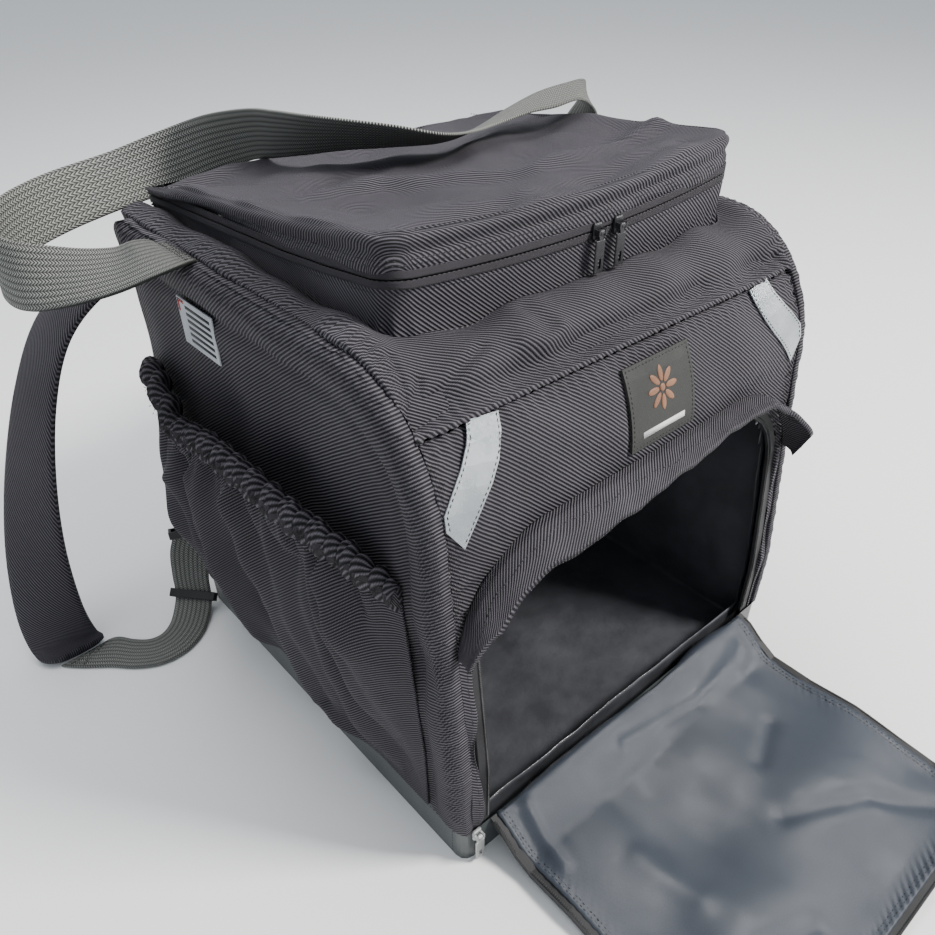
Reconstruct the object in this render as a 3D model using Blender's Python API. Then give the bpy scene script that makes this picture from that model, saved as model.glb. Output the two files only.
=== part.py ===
"""Insulated delivery backpack, standing on its base with the front door open.

Metres, +Z up, front towards -Y, origin at the middle of the base's underside.
Every soft wall is a slab: a unit grid with one layer of depth, each corner of
which a function moves to its place from the named sizes below.
"""

import math

import bmesh
import bpy
from mathutils import Matrix, Vector

for old in list(bpy.data.objects):
    bpy.data.objects.remove(old)

# Body: the padded box and the round shoulder between its front and its top.
BODY_WIDTH = 0.400
BODY_DEPTH = 0.420
BODY_HEIGHT = 0.415
WALL = 0.008
GAP = 0.0003
BOOT_HEIGHT = 0.036
BOOT_WALL = 0.0092
BOOT_FLOOR = 0.007
BOOT_CORNER = 0.010
LEAN_START = 0.100
FRONT_LEAN = 0.020
SHOULDER_RUN = 0.090
SHOULDER_RISE = 0.115
CREASE_ANGLE = math.radians(44)
BACK_CORNER = 0.020

# Side panels: a turned edge, a puffed roll inside it, then the flat field.
SIDE_WALL = 0.009
EDGE_TURN = 0.003
ROLL_WIDTH = 0.034
ROLL_PUFF = 0.005

# Mouth: the arched opening in the front panel, and the zip round it.
JAMB_WIDTH = 0.018
HEAD_HEIGHT = 0.125
MOUTH_WIDTH = BODY_WIDTH - 2 * JAMB_WIDTH
MOUTH_TOP = BODY_HEIGHT - HEAD_HEIGHT
MOUTH_RADIUS = 0.075
JAMB_STEPS = 7
CORNER_STEPS = 6
CROWN_STEPS = 5
ZIP_BAND = 0.010
ZIP_THICK = 0.003
ZIP_SINK = 0.0015

# Awning: the rain flap sewn over the mouth.
AWNING_MARGIN = 0.0075
AWNING_REACH = 0.027
AWNING_DROP = 0.016
AWNING_THICK = 0.003
AWNING_FALL = 0.062
AWNING_TIP = 0.007

# Top compartment: a low wall, the zip round it and the sagging lid.
TOP_WIDTH = 0.332
TOP_FRONT = 0.098
TOP_CORNER = 0.018
TOP_BOW = 0.008
TOP_WALL_RISE = 0.035
LID_RISE = 0.028
LID_THICK = 0.006
LID_SAG = 0.009
LID_DROOP = 0.006
ZIP_SAG = 0.007
TOP_ZIP_HEIGHT = 0.006
TOP_ROLL_PUFF = 0.006

# Door flap: unzipped, hinged on the boot and lying on the ground.
DOOR_LENGTH = 0.262
DOOR_THICK = 0.006
DOOR_BINDING = 0.007
DOOR_WAVE = 0.006
DOOR_FALL = 0.045

# Side pockets: gathered cloth under an elastic hem.
POCKET_FRONT = 0.042
POCKET_BACK = 0.012
POCKET_PUFF = 0.030
POCKET_FOLD = 0.007
POCKET_DROP = 0.131
POCKET_HEM = BODY_HEIGHT - POCKET_DROP
CLOTH = 0.002
HEM_HEIGHT = 0.014
HEM_THICK = 0.006
HEM_RUFFLE = 0.003
POCKET_FOLDS = 7
HEM_RUFFLES = 14

# Trim on the front and the left side.
TRIM_THICK = 0.001
TRIM_SEAT = 0.0005
STRIP_WIDTH = 0.025
PATCH_WIDTH = 0.070
PATCH_HEIGHT = 0.056
PATCH_THICK = 0.0025
PATCH_DROP = 0.042
LABEL_LENGTH = 0.055
LABEL_HEIGHT = 0.038
LABEL_BACK = 0.125
LABEL_DROP = 0.054

# Zip sliders and their pull tabs, in plated metal.
SLIDER_WIDTH = 0.008
SLIDER_HEIGHT = 0.011
SLIDER_THICK = 0.003
LUG_WIDTH = 0.0015
PIN_RADIUS = 0.0008
PIN_CLEARANCE = 0.0003
KNUCKLE_WALL = 0.0009
PULL_WIDTH = 0.009
PULL_LENGTH = 0.027
PULL_THICK = 0.0016
SLOT_WIDTH = 0.003
SLOT_LENGTH = 0.007
TOP_PULL_SPACING = 0.021
DOOR_PULL_INSET = 0.012

# Straps: the wide carry strap and a pair of padded shoulder straps.
CARRY_WIDTH = 0.050
WEB_WIDTH = 0.040
WEB_THICK = 0.002
PAD_WIDTH = 0.062
PAD_THICK = 0.012
BUCKLE_LENGTH = 0.009
BUCKLE_WALL = 0.0014
BUCKLE_CLEARANCE = 0.0022

# Places that several pieces share.
HALF_WIDTH = BODY_WIDTH / 2
HALF_DEPTH = BODY_DEPTH / 2
PANEL_END = HALF_WIDTH - SIDE_WALL - GAP
PANEL_FOOT = BOOT_HEIGHT + GAP
SHOULDER_Z = BODY_HEIGHT - SHOULDER_RISE
SHOULDER_Y = -HALF_DEPTH + FRONT_LEAN + SHOULDER_RUN
SHOULDER_LENGTH = math.pi / 4 * (3 * (SHOULDER_RUN + SHOULDER_RISE) - math.sqrt(
    (3 * SHOULDER_RUN + SHOULDER_RISE) * (SHOULDER_RUN + 3 * SHOULDER_RISE)))
CREASE_RISE = SHOULDER_Z + SHOULDER_LENGTH * CREASE_ANGLE / (math.pi / 2)
TOP_RISE = SHOULDER_Z + SHOULDER_LENGTH
TOP_HALF = TOP_WIDTH / 2
TOP_FACE = -HALF_DEPTH + TOP_FRONT
HALF_STEPS = JAMB_STEPS + CORNER_STEPS + CROWN_STEPS
MOUTH_STEPS = 2 * HALF_STEPS
SPRING_RISE = MOUTH_TOP - MOUTH_RADIUS
PIN_REACH = SLIDER_THICK + PIN_RADIUS + PIN_CLEARANCE + KNUCKLE_WALL + GAP


def finish(name, colour, roughness, metallic=0.0):
    """A plain material for one sub-part."""
    material = bpy.data.materials.new(name)
    material.use_nodes = True
    shader = material.node_tree.nodes["Principled BSDF"]
    shader.inputs["Base Color"].default_value = (*colour, 1.0)
    shader.inputs["Roughness"].default_value = roughness
    shader.inputs["Metallic"].default_value = metallic
    return material


def add_object(name, bm, material):
    """One named object from a bmesh, with its faces turned outwards."""
    bmesh.ops.recalc_face_normals(bm, faces=bm.faces)
    mesh = bpy.data.meshes.new(name)
    bm.to_mesh(mesh)
    bm.free()
    mesh.shade_smooth()
    mesh.set_sharp_from_angle(angle=math.radians(40))
    mesh.materials.append(material)
    body = bpy.data.objects.new(name, mesh)
    bpy.context.scene.collection.objects.link(body)
    return body


def slab(name, across, along, place, material, closed=False, capped=False):
    """A grid with one layer of depth; place(i, j, depth) gives each corner in metres.

    closed joins the last column to the first, and capped fills the hole in the
    last row, which turns a ring into a lid.
    """
    bm = bmesh.new()
    bmesh.ops.create_grid(bm, x_segments=across, y_segments=along, size=0.5)
    outer = bmesh.ops.extrude_face_region(bm, geom=bm.faces[:])
    raised = [item for item in outer["geom"] if isinstance(item, bmesh.types.BMVert)]
    bmesh.ops.translate(bm, verts=raised, vec=(0, 0, 1))

    def column(vert):
        return round((vert.co.x + 0.5) * across)

    def row(vert):
        return round((vert.co.y + 0.5) * along)

    if closed:
        ends = [face for face in bm.faces
                if all(column(v) == 0 for v in face.verts)
                or all(column(v) == across for v in face.verts)]
        bmesh.ops.delete(bm, geom=ends, context="FACES")
    if capped:
        rim = [face for face in bm.faces if all(row(v) == along for v in face.verts)]
        bmesh.ops.delete(bm, geom=rim, context="FACES")
    for vert in bm.verts:
        index = column(vert) % across if closed else column(vert)
        vert.co = place(index, row(vert), 1.0 - vert.co.z)
    bmesh.ops.remove_doubles(bm, verts=bm.verts, dist=1e-7)
    if capped:
        open_edges = [edge for edge in bm.edges if edge.is_boundary]
        bmesh.ops.edgeloop_fill(bm, edges=open_edges)
    bmesh.ops.triangulate(bm, faces=bm.faces)
    return add_object(name, bm, material)


def box(name, centre, size, material, bevel=0.0):
    """A block with its scale in the mesh and, where asked, broken edges."""
    bm = bmesh.new()
    bmesh.ops.create_cube(bm, size=1.0, matrix=Matrix.Translation(centre) @ Matrix.Diagonal((*size, 1.0)))
    if bevel:
        bmesh.ops.bevel(bm, geom=bm.edges[:], offset=bevel, offset_type="OFFSET",
                        affect="EDGES", segments=1, profile=0.5, material=-1)
    return add_object(name, bm, material)


def rod(name, centre, radius, length, axis, material, sides=12):
    """A round bar along one of the axes X, Y or Z."""
    turn = {"X": Matrix.Rotation(math.pi / 2, 4, "Y"), "Y": Matrix.Rotation(math.pi / 2, 4, "X"),
            "Z": Matrix.Identity(4)}[axis]
    bm = bmesh.new()
    bmesh.ops.create_cone(bm, cap_ends=True, segments=sides, radius1=radius, radius2=radius,
                          depth=length, matrix=Matrix.Translation(centre) @ turn)
    return add_object(name, bm, material)


def combine(body, other, operation):
    """Adds or cuts another solid, which stays in the file as a hidden guide."""
    other.hide_render = True
    other.display_type = "WIRE"
    other.hide_set(True)
    modifier = body.modifiers.new(operation.title(), "BOOLEAN")
    modifier.operation = operation
    modifier.object = other
    modifier.solver = "EXACT"


def between(table, share):
    """Reads a table of rows (share, value) at any share, straight between its rows."""
    last = table[0]
    for line in table:
        if share <= line[0]:
            width = line[0] - last[0]
            mix = (share - last[0]) / width if width else 0.0
            return last[1] + (line[1] - last[1]) * mix
        last = line
    return last[1]


def smooth(value):
    """An even ease from 0 to 1."""
    value = min(max(value, 0.0), 1.0)
    return value * value * (3 - 2 * value)


def lean_at(height):
    """How far the front leans back at a height below the shoulder."""
    return FRONT_LEAN * min(max((height - LEAN_START) / (SHOULDER_Z - LEAN_START), 0.0), 1.0)


def front_at(rise, inset=0.0):
    """Point (y, z) and normal of the outline at a length up the front and over the top."""
    if rise <= SHOULDER_Z:
        return -HALF_DEPTH + lean_at(rise) + inset, rise, Vector((0, -1, 0))
    if rise <= TOP_RISE:
        angle = (rise - SHOULDER_Z) / SHOULDER_LENGTH * math.pi / 2
        run = SHOULDER_RUN - inset
        lift = SHOULDER_RISE - inset
        normal = Vector((0, -math.cos(angle) / SHOULDER_RUN, math.sin(angle) / SHOULDER_RISE))
        return SHOULDER_Y - run * math.cos(angle), SHOULDER_Z + lift * math.sin(angle), normal.normalized()
    return SHOULDER_Y + rise - TOP_RISE, BODY_HEIGHT - inset, Vector((0, 0, 1))


def on_front(x, rise, proud):
    """A point at a height above (or, if negative, below) the front and top surface."""
    y, z, normal = front_at(rise)
    return Vector((x, y, z)) + normal * proud


def rise_of(y):
    """The length up the outline at which the shoulder or the top is y deep."""
    if y >= SHOULDER_Y:
        return TOP_RISE + y - SHOULDER_Y
    return SHOULDER_Z + SHOULDER_LENGTH * math.acos((SHOULDER_Y - y) / SHOULDER_RUN) / (math.pi / 2)


def arch(step, margin, foot):
    """Point (x, rise) of the mouth's outline, and the way out of it, from left foot to right foot.

    A positive margin goes outside the mouth. The steps run up one jamb, round
    the corner, over the crown and down again.
    """
    half = MOUTH_WIDTH / 2
    centre_x = half - MOUTH_RADIUS
    side = -1 if step < HALF_STEPS else 1
    walk = min(step, MOUTH_STEPS - step)
    if walk < JAMB_STEPS:
        rise = foot + (SPRING_RISE - foot) * walk / JAMB_STEPS
        return side * (half + margin), rise, Vector((side, 0))
    if walk < JAMB_STEPS + CORNER_STEPS:
        angle = (walk - JAMB_STEPS) / CORNER_STEPS * math.pi / 2
        out = Vector((side * math.cos(angle), math.sin(angle)))
        radius = MOUTH_RADIUS + margin
        return side * centre_x + out.x * radius, SPRING_RISE + out.y * radius, out
    return side * centre_x * (HALF_STEPS - walk) / CROWN_STEPS, MOUTH_TOP + margin, Vector((0, 1))


def frame_edge(step, foot):
    """Outer corner (x, rise) of the front panel beside a step of the mouth's outline."""
    side = -1 if step < HALF_STEPS else 1
    walk = min(step, MOUTH_STEPS - step)
    turn = JAMB_STEPS + CORNER_STEPS // 2
    top = CREASE_RISE - GAP / 2
    if walk <= JAMB_STEPS:
        return side * PANEL_END, foot + (SPRING_RISE - foot) * walk / JAMB_STEPS
    if walk <= turn:
        return side * PANEL_END, SPRING_RISE + (top - SPRING_RISE) * (walk - JAMB_STEPS) / (turn - JAMB_STEPS)
    return side * PANEL_END * (HALF_STEPS - walk) / (HALF_STEPS - turn), top


def outline_side(inset):
    """Closed outline (y, z, roll weight) of a side panel, a given distance inside its edge."""
    points = []
    foot = PANEL_FOOT + inset
    for step in range(7):
        rise = foot + (SHOULDER_Z - foot) * step / 7
        y, z, _ = front_at(rise, inset)
        points.append((y, z, smooth((z - foot) / ROLL_WIDTH)))
    for step in range(9):
        y, z, _ = front_at(SHOULDER_Z + SHOULDER_LENGTH * step / 9, inset)
        points.append((y, z, 1.0))
    back = HALF_DEPTH - inset
    top = BODY_HEIGHT - inset
    radius = BACK_CORNER * (1 - 0.8 * inset / ROLL_WIDTH)
    for step in range(3):
        points.append((SHOULDER_Y + (back - radius - SHOULDER_Y) * step / 3, top, 1.0))
    for step in range(3):
        angle = math.pi / 2 * step / 2
        points.append((back - radius + radius * math.sin(angle), top - radius + radius * math.cos(angle),
                       1.0 - step / 2))
    points.append((back, (top - radius + foot) / 2, 0.0))
    for step in range(4):
        points.append((back + (front_at(foot, inset)[0] - back) * step / 4, foot, 0.0))
    return points


# Shares of the roll's width, and how far it puffs there.
SIDE_ROLL = (  # (inset, puff)
    (0.00, 0.0),
    (0.18, 0.75),
    (0.45, 1.00),
    (0.75, 0.55),
    (1.00, 0.0),
)


def side_panel(name, side, material):
    """One padded side: flat inside, with a puffed roll along its front and top outside."""
    rings = [outline_side(ROLL_WIDTH * line[0]) for line in SIDE_ROLL]

    def place(i, j, depth):
        y, z, weight = rings[j][i]
        edge = -EDGE_TURN if j == 0 else 0.0
        outer = HALF_WIDTH + edge + ROLL_PUFF * SIDE_ROLL[j][1] * weight
        return Vector((side * (outer if depth < 0.5 else HALF_WIDTH - SIDE_WALL), y, z))

    return slab(name, len(rings[0]), len(SIDE_ROLL) - 1, place, material, closed=True, capped=True)


def front_panel(material):
    """The front, cut out round the mouth, from the boot up to the crease in the shoulder."""
    rows = 4

    def place(i, j, depth):
        x, rise, _ = arch(i, 0.0, PANEL_FOOT)
        edge_x, edge_rise = frame_edge(i, PANEL_FOOT)
        share = j / rows
        return on_front(x + (edge_x - x) * share, rise + (edge_rise - rise) * share, -WALL * depth)

    return slab("front_panel", MOUTH_STEPS, rows, place, material)


def mouth_zip(material):
    """Zip tape with its teeth, sewn inside the edge of the mouth."""
    def place(i, j, depth):
        x, rise, _ = arch(i, -GAP - ZIP_BAND * j, PANEL_FOOT)
        return on_front(x, rise, -ZIP_SINK - ZIP_THICK * depth)

    return slab("mouth_zip", MOUTH_STEPS, 1, place, material)


# The awning from its left end to its right end, as shares of its reach and of its drop.
AWNING_SAG = (  # (along, reach, drop)
    (0.00, 0.40, 0.25),
    (0.10, 0.85, 0.90),
    (0.30, 1.00, 1.00),
    (0.50, 0.92, 0.50),
    (0.70, 0.68, 0.20),
    (0.86, 0.66, 0.20),
    (0.95, 0.95, 0.25),
    (1.00, 0.45, 0.30),
)


def awning(material):
    """The rain flap: a lip along the mouth's arch that sags out, with a loose right end."""
    across = 26
    rows = 3
    start = JAMB_STEPS * (MOUTH_TOP - AWNING_FALL - PANEL_FOOT) / (SPRING_RISE - PANEL_FOOT)
    swell = (0.0, 0.34, 0.74, 1.0)
    hang = (0.0, -0.12, 0.25, 1.0)

    def place(i, j, depth):
        along = i / across
        step = start + (MOUTH_STEPS - 2 * start) * along
        x, rise, _ = arch(step, AWNING_MARGIN + AWNING_THICK * (1 - depth), PANEL_FOOT)
        reach = AWNING_REACH * swell[j] * between([(a, r) for a, r, _ in AWNING_SAG], along)
        drop = AWNING_DROP * hang[j] * between([(a, d) for a, _, d in AWNING_SAG], along)
        loose = smooth((along - 0.84) / 0.08) * smooth((1 - along) / 0.06)
        return on_front(x, rise, TRIM_SEAT) + Vector((AWNING_TIP * loose * swell[j], -reach, -drop))

    return slab("awning", across, rows, place, material)


def top_plan(margin):
    """Closed plan (x, y) of the top compartment, grown by a margin, from the back left forwards."""
    half = TOP_HALF + margin
    front = TOP_FACE - margin
    back = HALF_DEPTH
    radius = TOP_CORNER + margin
    points = []

    def line(start, stop, steps):
        for step in range(steps):
            mix = step / steps
            points.append((start[0] + (stop[0] - start[0]) * mix, start[1] + (stop[1] - start[1]) * mix))

    def corner(x, y, first, turn):
        for step in range(4):
            angle = math.radians(first + turn * step / 4)
            points.append((x + radius * math.cos(angle), y + radius * math.sin(angle)))

    line((-half, back), (-half, front + radius), 7)
    corner(-half + radius, front + radius, 180, 90)
    line((-half + radius, front), (half - radius, front), 8)
    corner(half - radius, front + radius, 270, 90)
    line((half, front + radius), (half, back), 7)
    line((half, back), (-half, back), 4)
    bowed = []
    for x, y in points:
        forward = smooth((back - y) / (back - front) * 2 - 1)
        bowed.append((x, y - TOP_BOW * forward * (1 - (x / half) ** 2)))
    return bowed


# Heights along the compartment from front (0) to back (1), as shares of its rises.
WALL_SLOPE = ((0.0, 1.0), (0.2, 0.76), (0.35, 0.62), (0.6, 0.48), (0.9, 0.32), (1.0, 0.24))
LID_SLOPE = ((0.0, 1.0), (0.1, 1.05), (0.4, 1.02), (0.6, 0.90), (0.8, 0.68), (0.92, 0.40), (1.0, 0.24))


def zip_height(x, y):
    """Height of the middle of the top zip round the compartment."""
    share = (y - TOP_FACE) / (HALF_DEPTH - TOP_FACE)
    sag = ZIP_SAG * (1 - (x / TOP_HALF) ** 2) * smooth(1 - share * 4)
    return BODY_HEIGHT + TOP_WALL_RISE * between(WALL_SLOPE, share) - max(sag, 0.0)


def lid_height(x, y):
    """Height of the lid's upper edge, lower along its left side than its right."""
    share = min(max((y - TOP_FACE) / (HALF_DEPTH - TOP_FACE), 0.0), 1.0)
    droop = LID_DROOP * smooth(0.5 - x / TOP_WIDTH) * math.sin(math.pi * share)
    return zip_height(x, y) + LID_RISE * between(LID_SLOPE, share) - droop


def inward(x, y, distance):
    """Moves a point of the plan towards the compartment's middle."""
    centre = Vector((0, (TOP_FACE + HALF_DEPTH) / 2))
    half = Vector((TOP_HALF, (HALF_DEPTH - TOP_FACE) / 2))
    scale = Vector(((half.x - distance) / half.x, (half.y - distance) / half.y))
    return centre.x + (x - centre.x) * scale.x, centre.y + (y - centre.y) * scale.y


def top_panel(material):
    """The yoke: from the crease over the shoulder and along both sides of the compartment."""
    plan = top_plan(GAP)
    loop = plan[:31]
    rows = 4
    across = len(loop) - 1
    back = HALF_DEPTH

    def outer_end(i):
        if i <= 7:
            return -PANEL_END, rise_of(loop[i][1])
        if i <= 11:
            mix = (i - 7) / 4
            start = rise_of(loop[7][1])
            return (-PANEL_END, start + (CREASE_RISE - start) * mix / 0.5) if mix <= 0.5 else (
                -PANEL_END + (PANEL_END + loop[11][0]) * (mix - 0.5) / 0.5, CREASE_RISE)
        return loop[i][0], CREASE_RISE

    def ends(i):
        mirrored = across - i
        if i <= across // 2:
            return outer_end(i)
        x, rise = outer_end(mirrored)
        return -x, rise

    def place(i, j, depth):
        inner_x, inner_y = loop[i]
        outer_x, outer_rise = ends(i)
        inner_rise = rise_of(min(inner_y, back))
        share = j / rows
        x = inner_x + (outer_x - inner_x) * share
        seam = GAP / 2 if outer_rise == CREASE_RISE else 0.0
        rise = inner_rise + (outer_rise + seam - inner_rise) * share
        y, z, normal = front_at(rise)
        side = smooth((rise - CREASE_RISE) / (TOP_RISE - CREASE_RISE))
        puff = TOP_ROLL_PUFF * math.sin(math.pi * share) * (0.35 + 0.65 * side)
        down = Vector((0, 0, 1)).lerp(normal, share).normalized()
        return Vector((x, y, z)) + normal * puff - down * WALL * depth

    return slab("top_panel", across, rows, place, material)


def ring(name, rows, place_row, thick, material, capped=False, margin=0.0):
    """A band round the compartment's plan; place_row gives (inward distance, height) for a row."""
    plan = top_plan(margin)

    def place(i, j, depth):
        x, y = plan[i]
        distance, height, dip = place_row(j, x, y)
        deeper = distance + thick * (depth if dip < 1 else 0.0)
        px, py = inward(x, y, deeper)
        return Vector((px, py, height - thick * depth * dip))

    return slab(name, len(plan), rows, place, material, closed=True, capped=capped)


def compartment_wall(material):
    """The low padded wall under the zip, which stands in the yoke's opening."""
    def row(j, x, y):
        top = zip_height(x, y) - TOP_ZIP_HEIGHT / 2 - GAP
        foot = BODY_HEIGHT - WALL
        return 0.0, foot + (top - foot) * j / 2, 0.0

    return ring("compartment_wall", 2, row, WALL, material)


def top_zip(material):
    """The closed zip between the wall and the lid, set back in their seam."""
    def row(j, x, y):
        return 0.0015, zip_height(x, y) - TOP_ZIP_HEIGHT * (0.5 - j), 0.0

    return ring("top_zip", 1, row, ZIP_THICK, material)


# The lid's section from its lower edge up its wall and over to its middle.
LID_SECTION = (  # (distance in from the edge in metres, share of height, share of sag, dip)
    (0.000, 0.00, 0.00, 0.0),
    (-0.0015, 0.45, 0.00, 0.0),
    (0.001, 0.88, 0.00, 0.3),
    (0.007, 1.00, 0.00, 1.0),
    (0.018, 0.97, 0.35, 1.0),
    (0.045, 0.95, 0.80, 1.0),
    (0.085, 0.94, 1.00, 1.0),
)


def lid(material):
    """The soft lid: a wall above the zip, a rolled edge, and a top that sags in the middle."""
    def row(j, x, y):
        inset, height, sag, dip = LID_SECTION[j]
        foot = zip_height(x, y) + TOP_ZIP_HEIGHT / 2 + GAP
        px, py = inward(x, y, max(inset, 0.0))
        top = lid_height(px, py) if inset > 0.002 else lid_height(x, y)
        rise = foot + (top - foot) * height
        if inset > 0.002:
            rise = top - LID_SAG * sag
        return inset, rise, dip

    return ring("lid", len(LID_SECTION) - 1, row, LID_THICK, material, capped=True)


def back_panel(material):
    """The flat padded back, between the side panels, from the boot to the yoke."""
    top = BODY_HEIGHT - WALL - GAP
    height = top - PANEL_FOOT
    return box("back_panel", (0, HALF_DEPTH - WALL / 2, PANEL_FOOT + height / 2),
               (2 * PANEL_END, WALL, height), material)


def base_boot(material):
    """The vinyl foot: a shallow tray that the panels stand on."""
    bm = bmesh.new()
    bmesh.ops.create_cube(bm, size=1.0, matrix=Matrix.Translation((0, 0, BOOT_HEIGHT / 2))
                          @ Matrix.Diagonal((BODY_WIDTH, BODY_DEPTH, BOOT_HEIGHT, 1.0)))
    upright = [edge for edge in bm.edges if abs(edge.verts[0].co.z - edge.verts[1].co.z) > BOOT_HEIGHT / 2]
    bmesh.ops.bevel(bm, geom=upright, offset=BOOT_CORNER, offset_type="OFFSET", affect="EDGES",
                    segments=3, profile=0.5, material=-1)
    top = [face for face in bm.faces if face.normal.z > 0.9]
    bmesh.ops.inset_region(bm, faces=top, thickness=BOOT_WALL, depth=0.0, use_even_offset=True)
    bmesh.ops.translate(bm, verts=top[0].verts[:], vec=(0, 0, BOOT_FLOOR - BOOT_HEIGHT))
    return add_object("base_boot", bm, material)


def door_surface(x, length):
    """Point on the flap's inner face: down off the boot's edge, then over the ground in soft waves."""
    fall = smooth(length / DOOR_FALL)
    top = BOOT_HEIGHT - 2 * GAP
    rest = DOOR_THICK + 2 * GAP + DOOR_WAVE
    wave = DOOR_WAVE * fall * math.sin(x / BODY_WIDTH * 9 + length / DOOR_LENGTH * 5) * math.cos(
        length / DOOR_LENGTH * 7 - x / BODY_WIDTH * 5)
    return Vector((x, -HALF_DEPTH - GAP - length, top + (rest - top) * fall + wave))


# Rows of the door flap from the hinge to its far end, as shares of its length.
DOOR_ROWS = (0.0, 0.05, 0.11, 0.18, 0.34, 0.52, 0.70, 0.82, 0.91, 0.97, 1.0)
DOOR_COLUMNS = 12


def door_spot(i, j):
    """Point (x, length) of the padded flap's grid, inside its bound edge."""
    half = MOUTH_WIDTH / 2 - ZIP_BAND - DOOR_BINDING - 2 * GAP
    full = DOOR_LENGTH - DOOR_BINDING - GAP
    radius = MOUTH_RADIUS - ZIP_BAND - DOOR_BINDING
    length = full * DOOR_ROWS[j]
    over = max(length - full + radius, 0.0)
    reach = half - radius + math.sqrt(max(radius * radius - over * over, 0.0))
    return reach * (i / DOOR_COLUMNS * 2 - 1), length


def door_flap(material):
    """The unzipped door: a padded arch that lies on the ground, inner face up."""
    def place(i, j, depth):
        x, length = door_spot(i, j)
        return door_surface(x, length) - Vector((0, 0, DOOR_THICK * depth))

    return slab("door_flap", DOOR_COLUMNS, len(DOOR_ROWS) - 1, place, material)


def door_zip(material):
    """Bound zip tape round the flap's free edge."""
    rows = len(DOOR_ROWS) - 1
    edge = [door_spot(0, j) for j in range(rows)] + [door_spot(i, rows) for i in range(DOOR_COLUMNS)]
    edge += [door_spot(DOOR_COLUMNS, j) for j in range(rows, -1, -1)]
    last = len(edge) - 1

    def place(i, j, depth):
        here = Vector(edge[i])
        before = Vector(edge[max(i - 1, 0)])
        after = Vector(edge[min(i + 1, last)])
        ahead = (after - before).normalized()
        out = Vector((-ahead.y, ahead.x))
        if i in (0, last):
            out = Vector((-1 if i == 0 else 1, 0))
        step = (here - before) if i else (after - here)
        flare = 1 / max(abs(step.normalized().dot(ahead)), 0.7)
        spot = here + out * flare * (GAP + DOOR_BINDING * (1 - j))
        return door_surface(spot.x, spot.y) - Vector((0, 0, DOOR_THICK * depth))

    return slab("door_zip", last, 1, place, material)


# The pocket's hem from back (0) to front (1), as shares of the hem's height and of the puff.
HEM_LINE = (  # (along, height, puff)
    (0.00, 0.975, 0.00),
    (0.10, 1.010, 0.42),
    (0.24, 0.925, 0.72),
    (0.42, 0.985, 0.80),
    (0.60, 1.010, 0.92),
    (0.78, 1.000, 0.85),
    (0.92, 0.955, 0.45),
    (1.00, 0.880, 0.00),
)


def hem_height(share):
    """Height of the hem's lower edge."""
    return POCKET_HEM * between([(a, h) for a, h, p in HEM_LINE], share)


def hem_puff(share):
    """How far the hem stands off the side panel."""
    return POCKET_PUFF * between([(a, p) for a, h, p in HEM_LINE], share)


def pocket_spot(share, height):
    """Place (distance off the side, y, z) of the gathered pocket, between 0 and 1 both ways.

    The folds fan down towards the front foot, so their phase leans with the height.
    """
    z = PANEL_FOOT + (hem_height(share) - PANEL_FOOT) * height
    front = -HALF_DEPTH + lean_at(z) + POCKET_FRONT
    back = HALF_DEPTH - POCKET_BACK
    y = back + (front - back) * share
    edge = smooth(share / 0.14) * smooth((1 - share) / 0.12)
    belly = math.sin(math.pi * min(height * 1.15, 1.0) * 0.62) ** 0.8 if height > 0 else 0.0
    body = POCKET_PUFF * edge * belly * smooth(height / 0.16)
    puff = body + (hem_puff(share) - body) * smooth((height - 0.72) / 0.28)
    folds = math.sin(2 * math.pi * POCKET_FOLDS * share * (0.62 + 0.38 * height))
    puff += POCKET_FOLD * folds * edge * math.sin(math.pi * min(height * 0.8 + 0.08, 1.0))
    return max(puff, 0.0), y, z


def side_pocket(name, side, material):
    """Gathered cloth from the boot's seam up to the elastic hem."""
    across = 28
    rows = 7

    def place(i, j, depth):
        puff, y, z = pocket_spot(i / across, j / rows)
        off = HALF_WIDTH + GAP + CLOTH * (1 - depth) + puff
        return Vector((side * off, y, z))

    return slab(name, across, rows, place, material)


def pocket_hem(name, side, material):
    """The ruffled casing with elastic inside, along the pocket's upper edge."""
    across = 42

    def place(i, j, depth):
        share = i / across
        puff, y, z = pocket_spot(share, 1.0)
        ruffle = HEM_RUFFLE * math.sin(2 * math.pi * HEM_RUFFLES * share) * smooth(share / 0.05) * smooth(
            (1 - share) / 0.05)
        round_out = 0.0 if j != 1 else HEM_THICK * 0.28
        off = HALF_WIDTH + GAP + puff + HEM_THICK * (1 - depth) + (round_out if depth < 0.5 else 0.0)
        off += ruffle * (1 if depth < 0.5 else 0) * (1 if puff > HEM_RUFFLE else 0.4)
        lift = GAP + HEM_HEIGHT * j / 2
        return Vector((side * off, y, z + lift + ruffle * 0.5 + HEM_RUFFLE * 0.5))

    return slab(name, across, 2, place, material)


# Centre line of the left reflective strip from the crease to the side seam.
STRIP_LINE = (  # (x as a share of the half width, place between shoulder foot and crease)
    (-0.715, 1.00),
    (-0.735, 0.80),
    (-0.800, 0.60),
    (-0.880, 0.40),
    (-0.940, 0.22),
)


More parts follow.
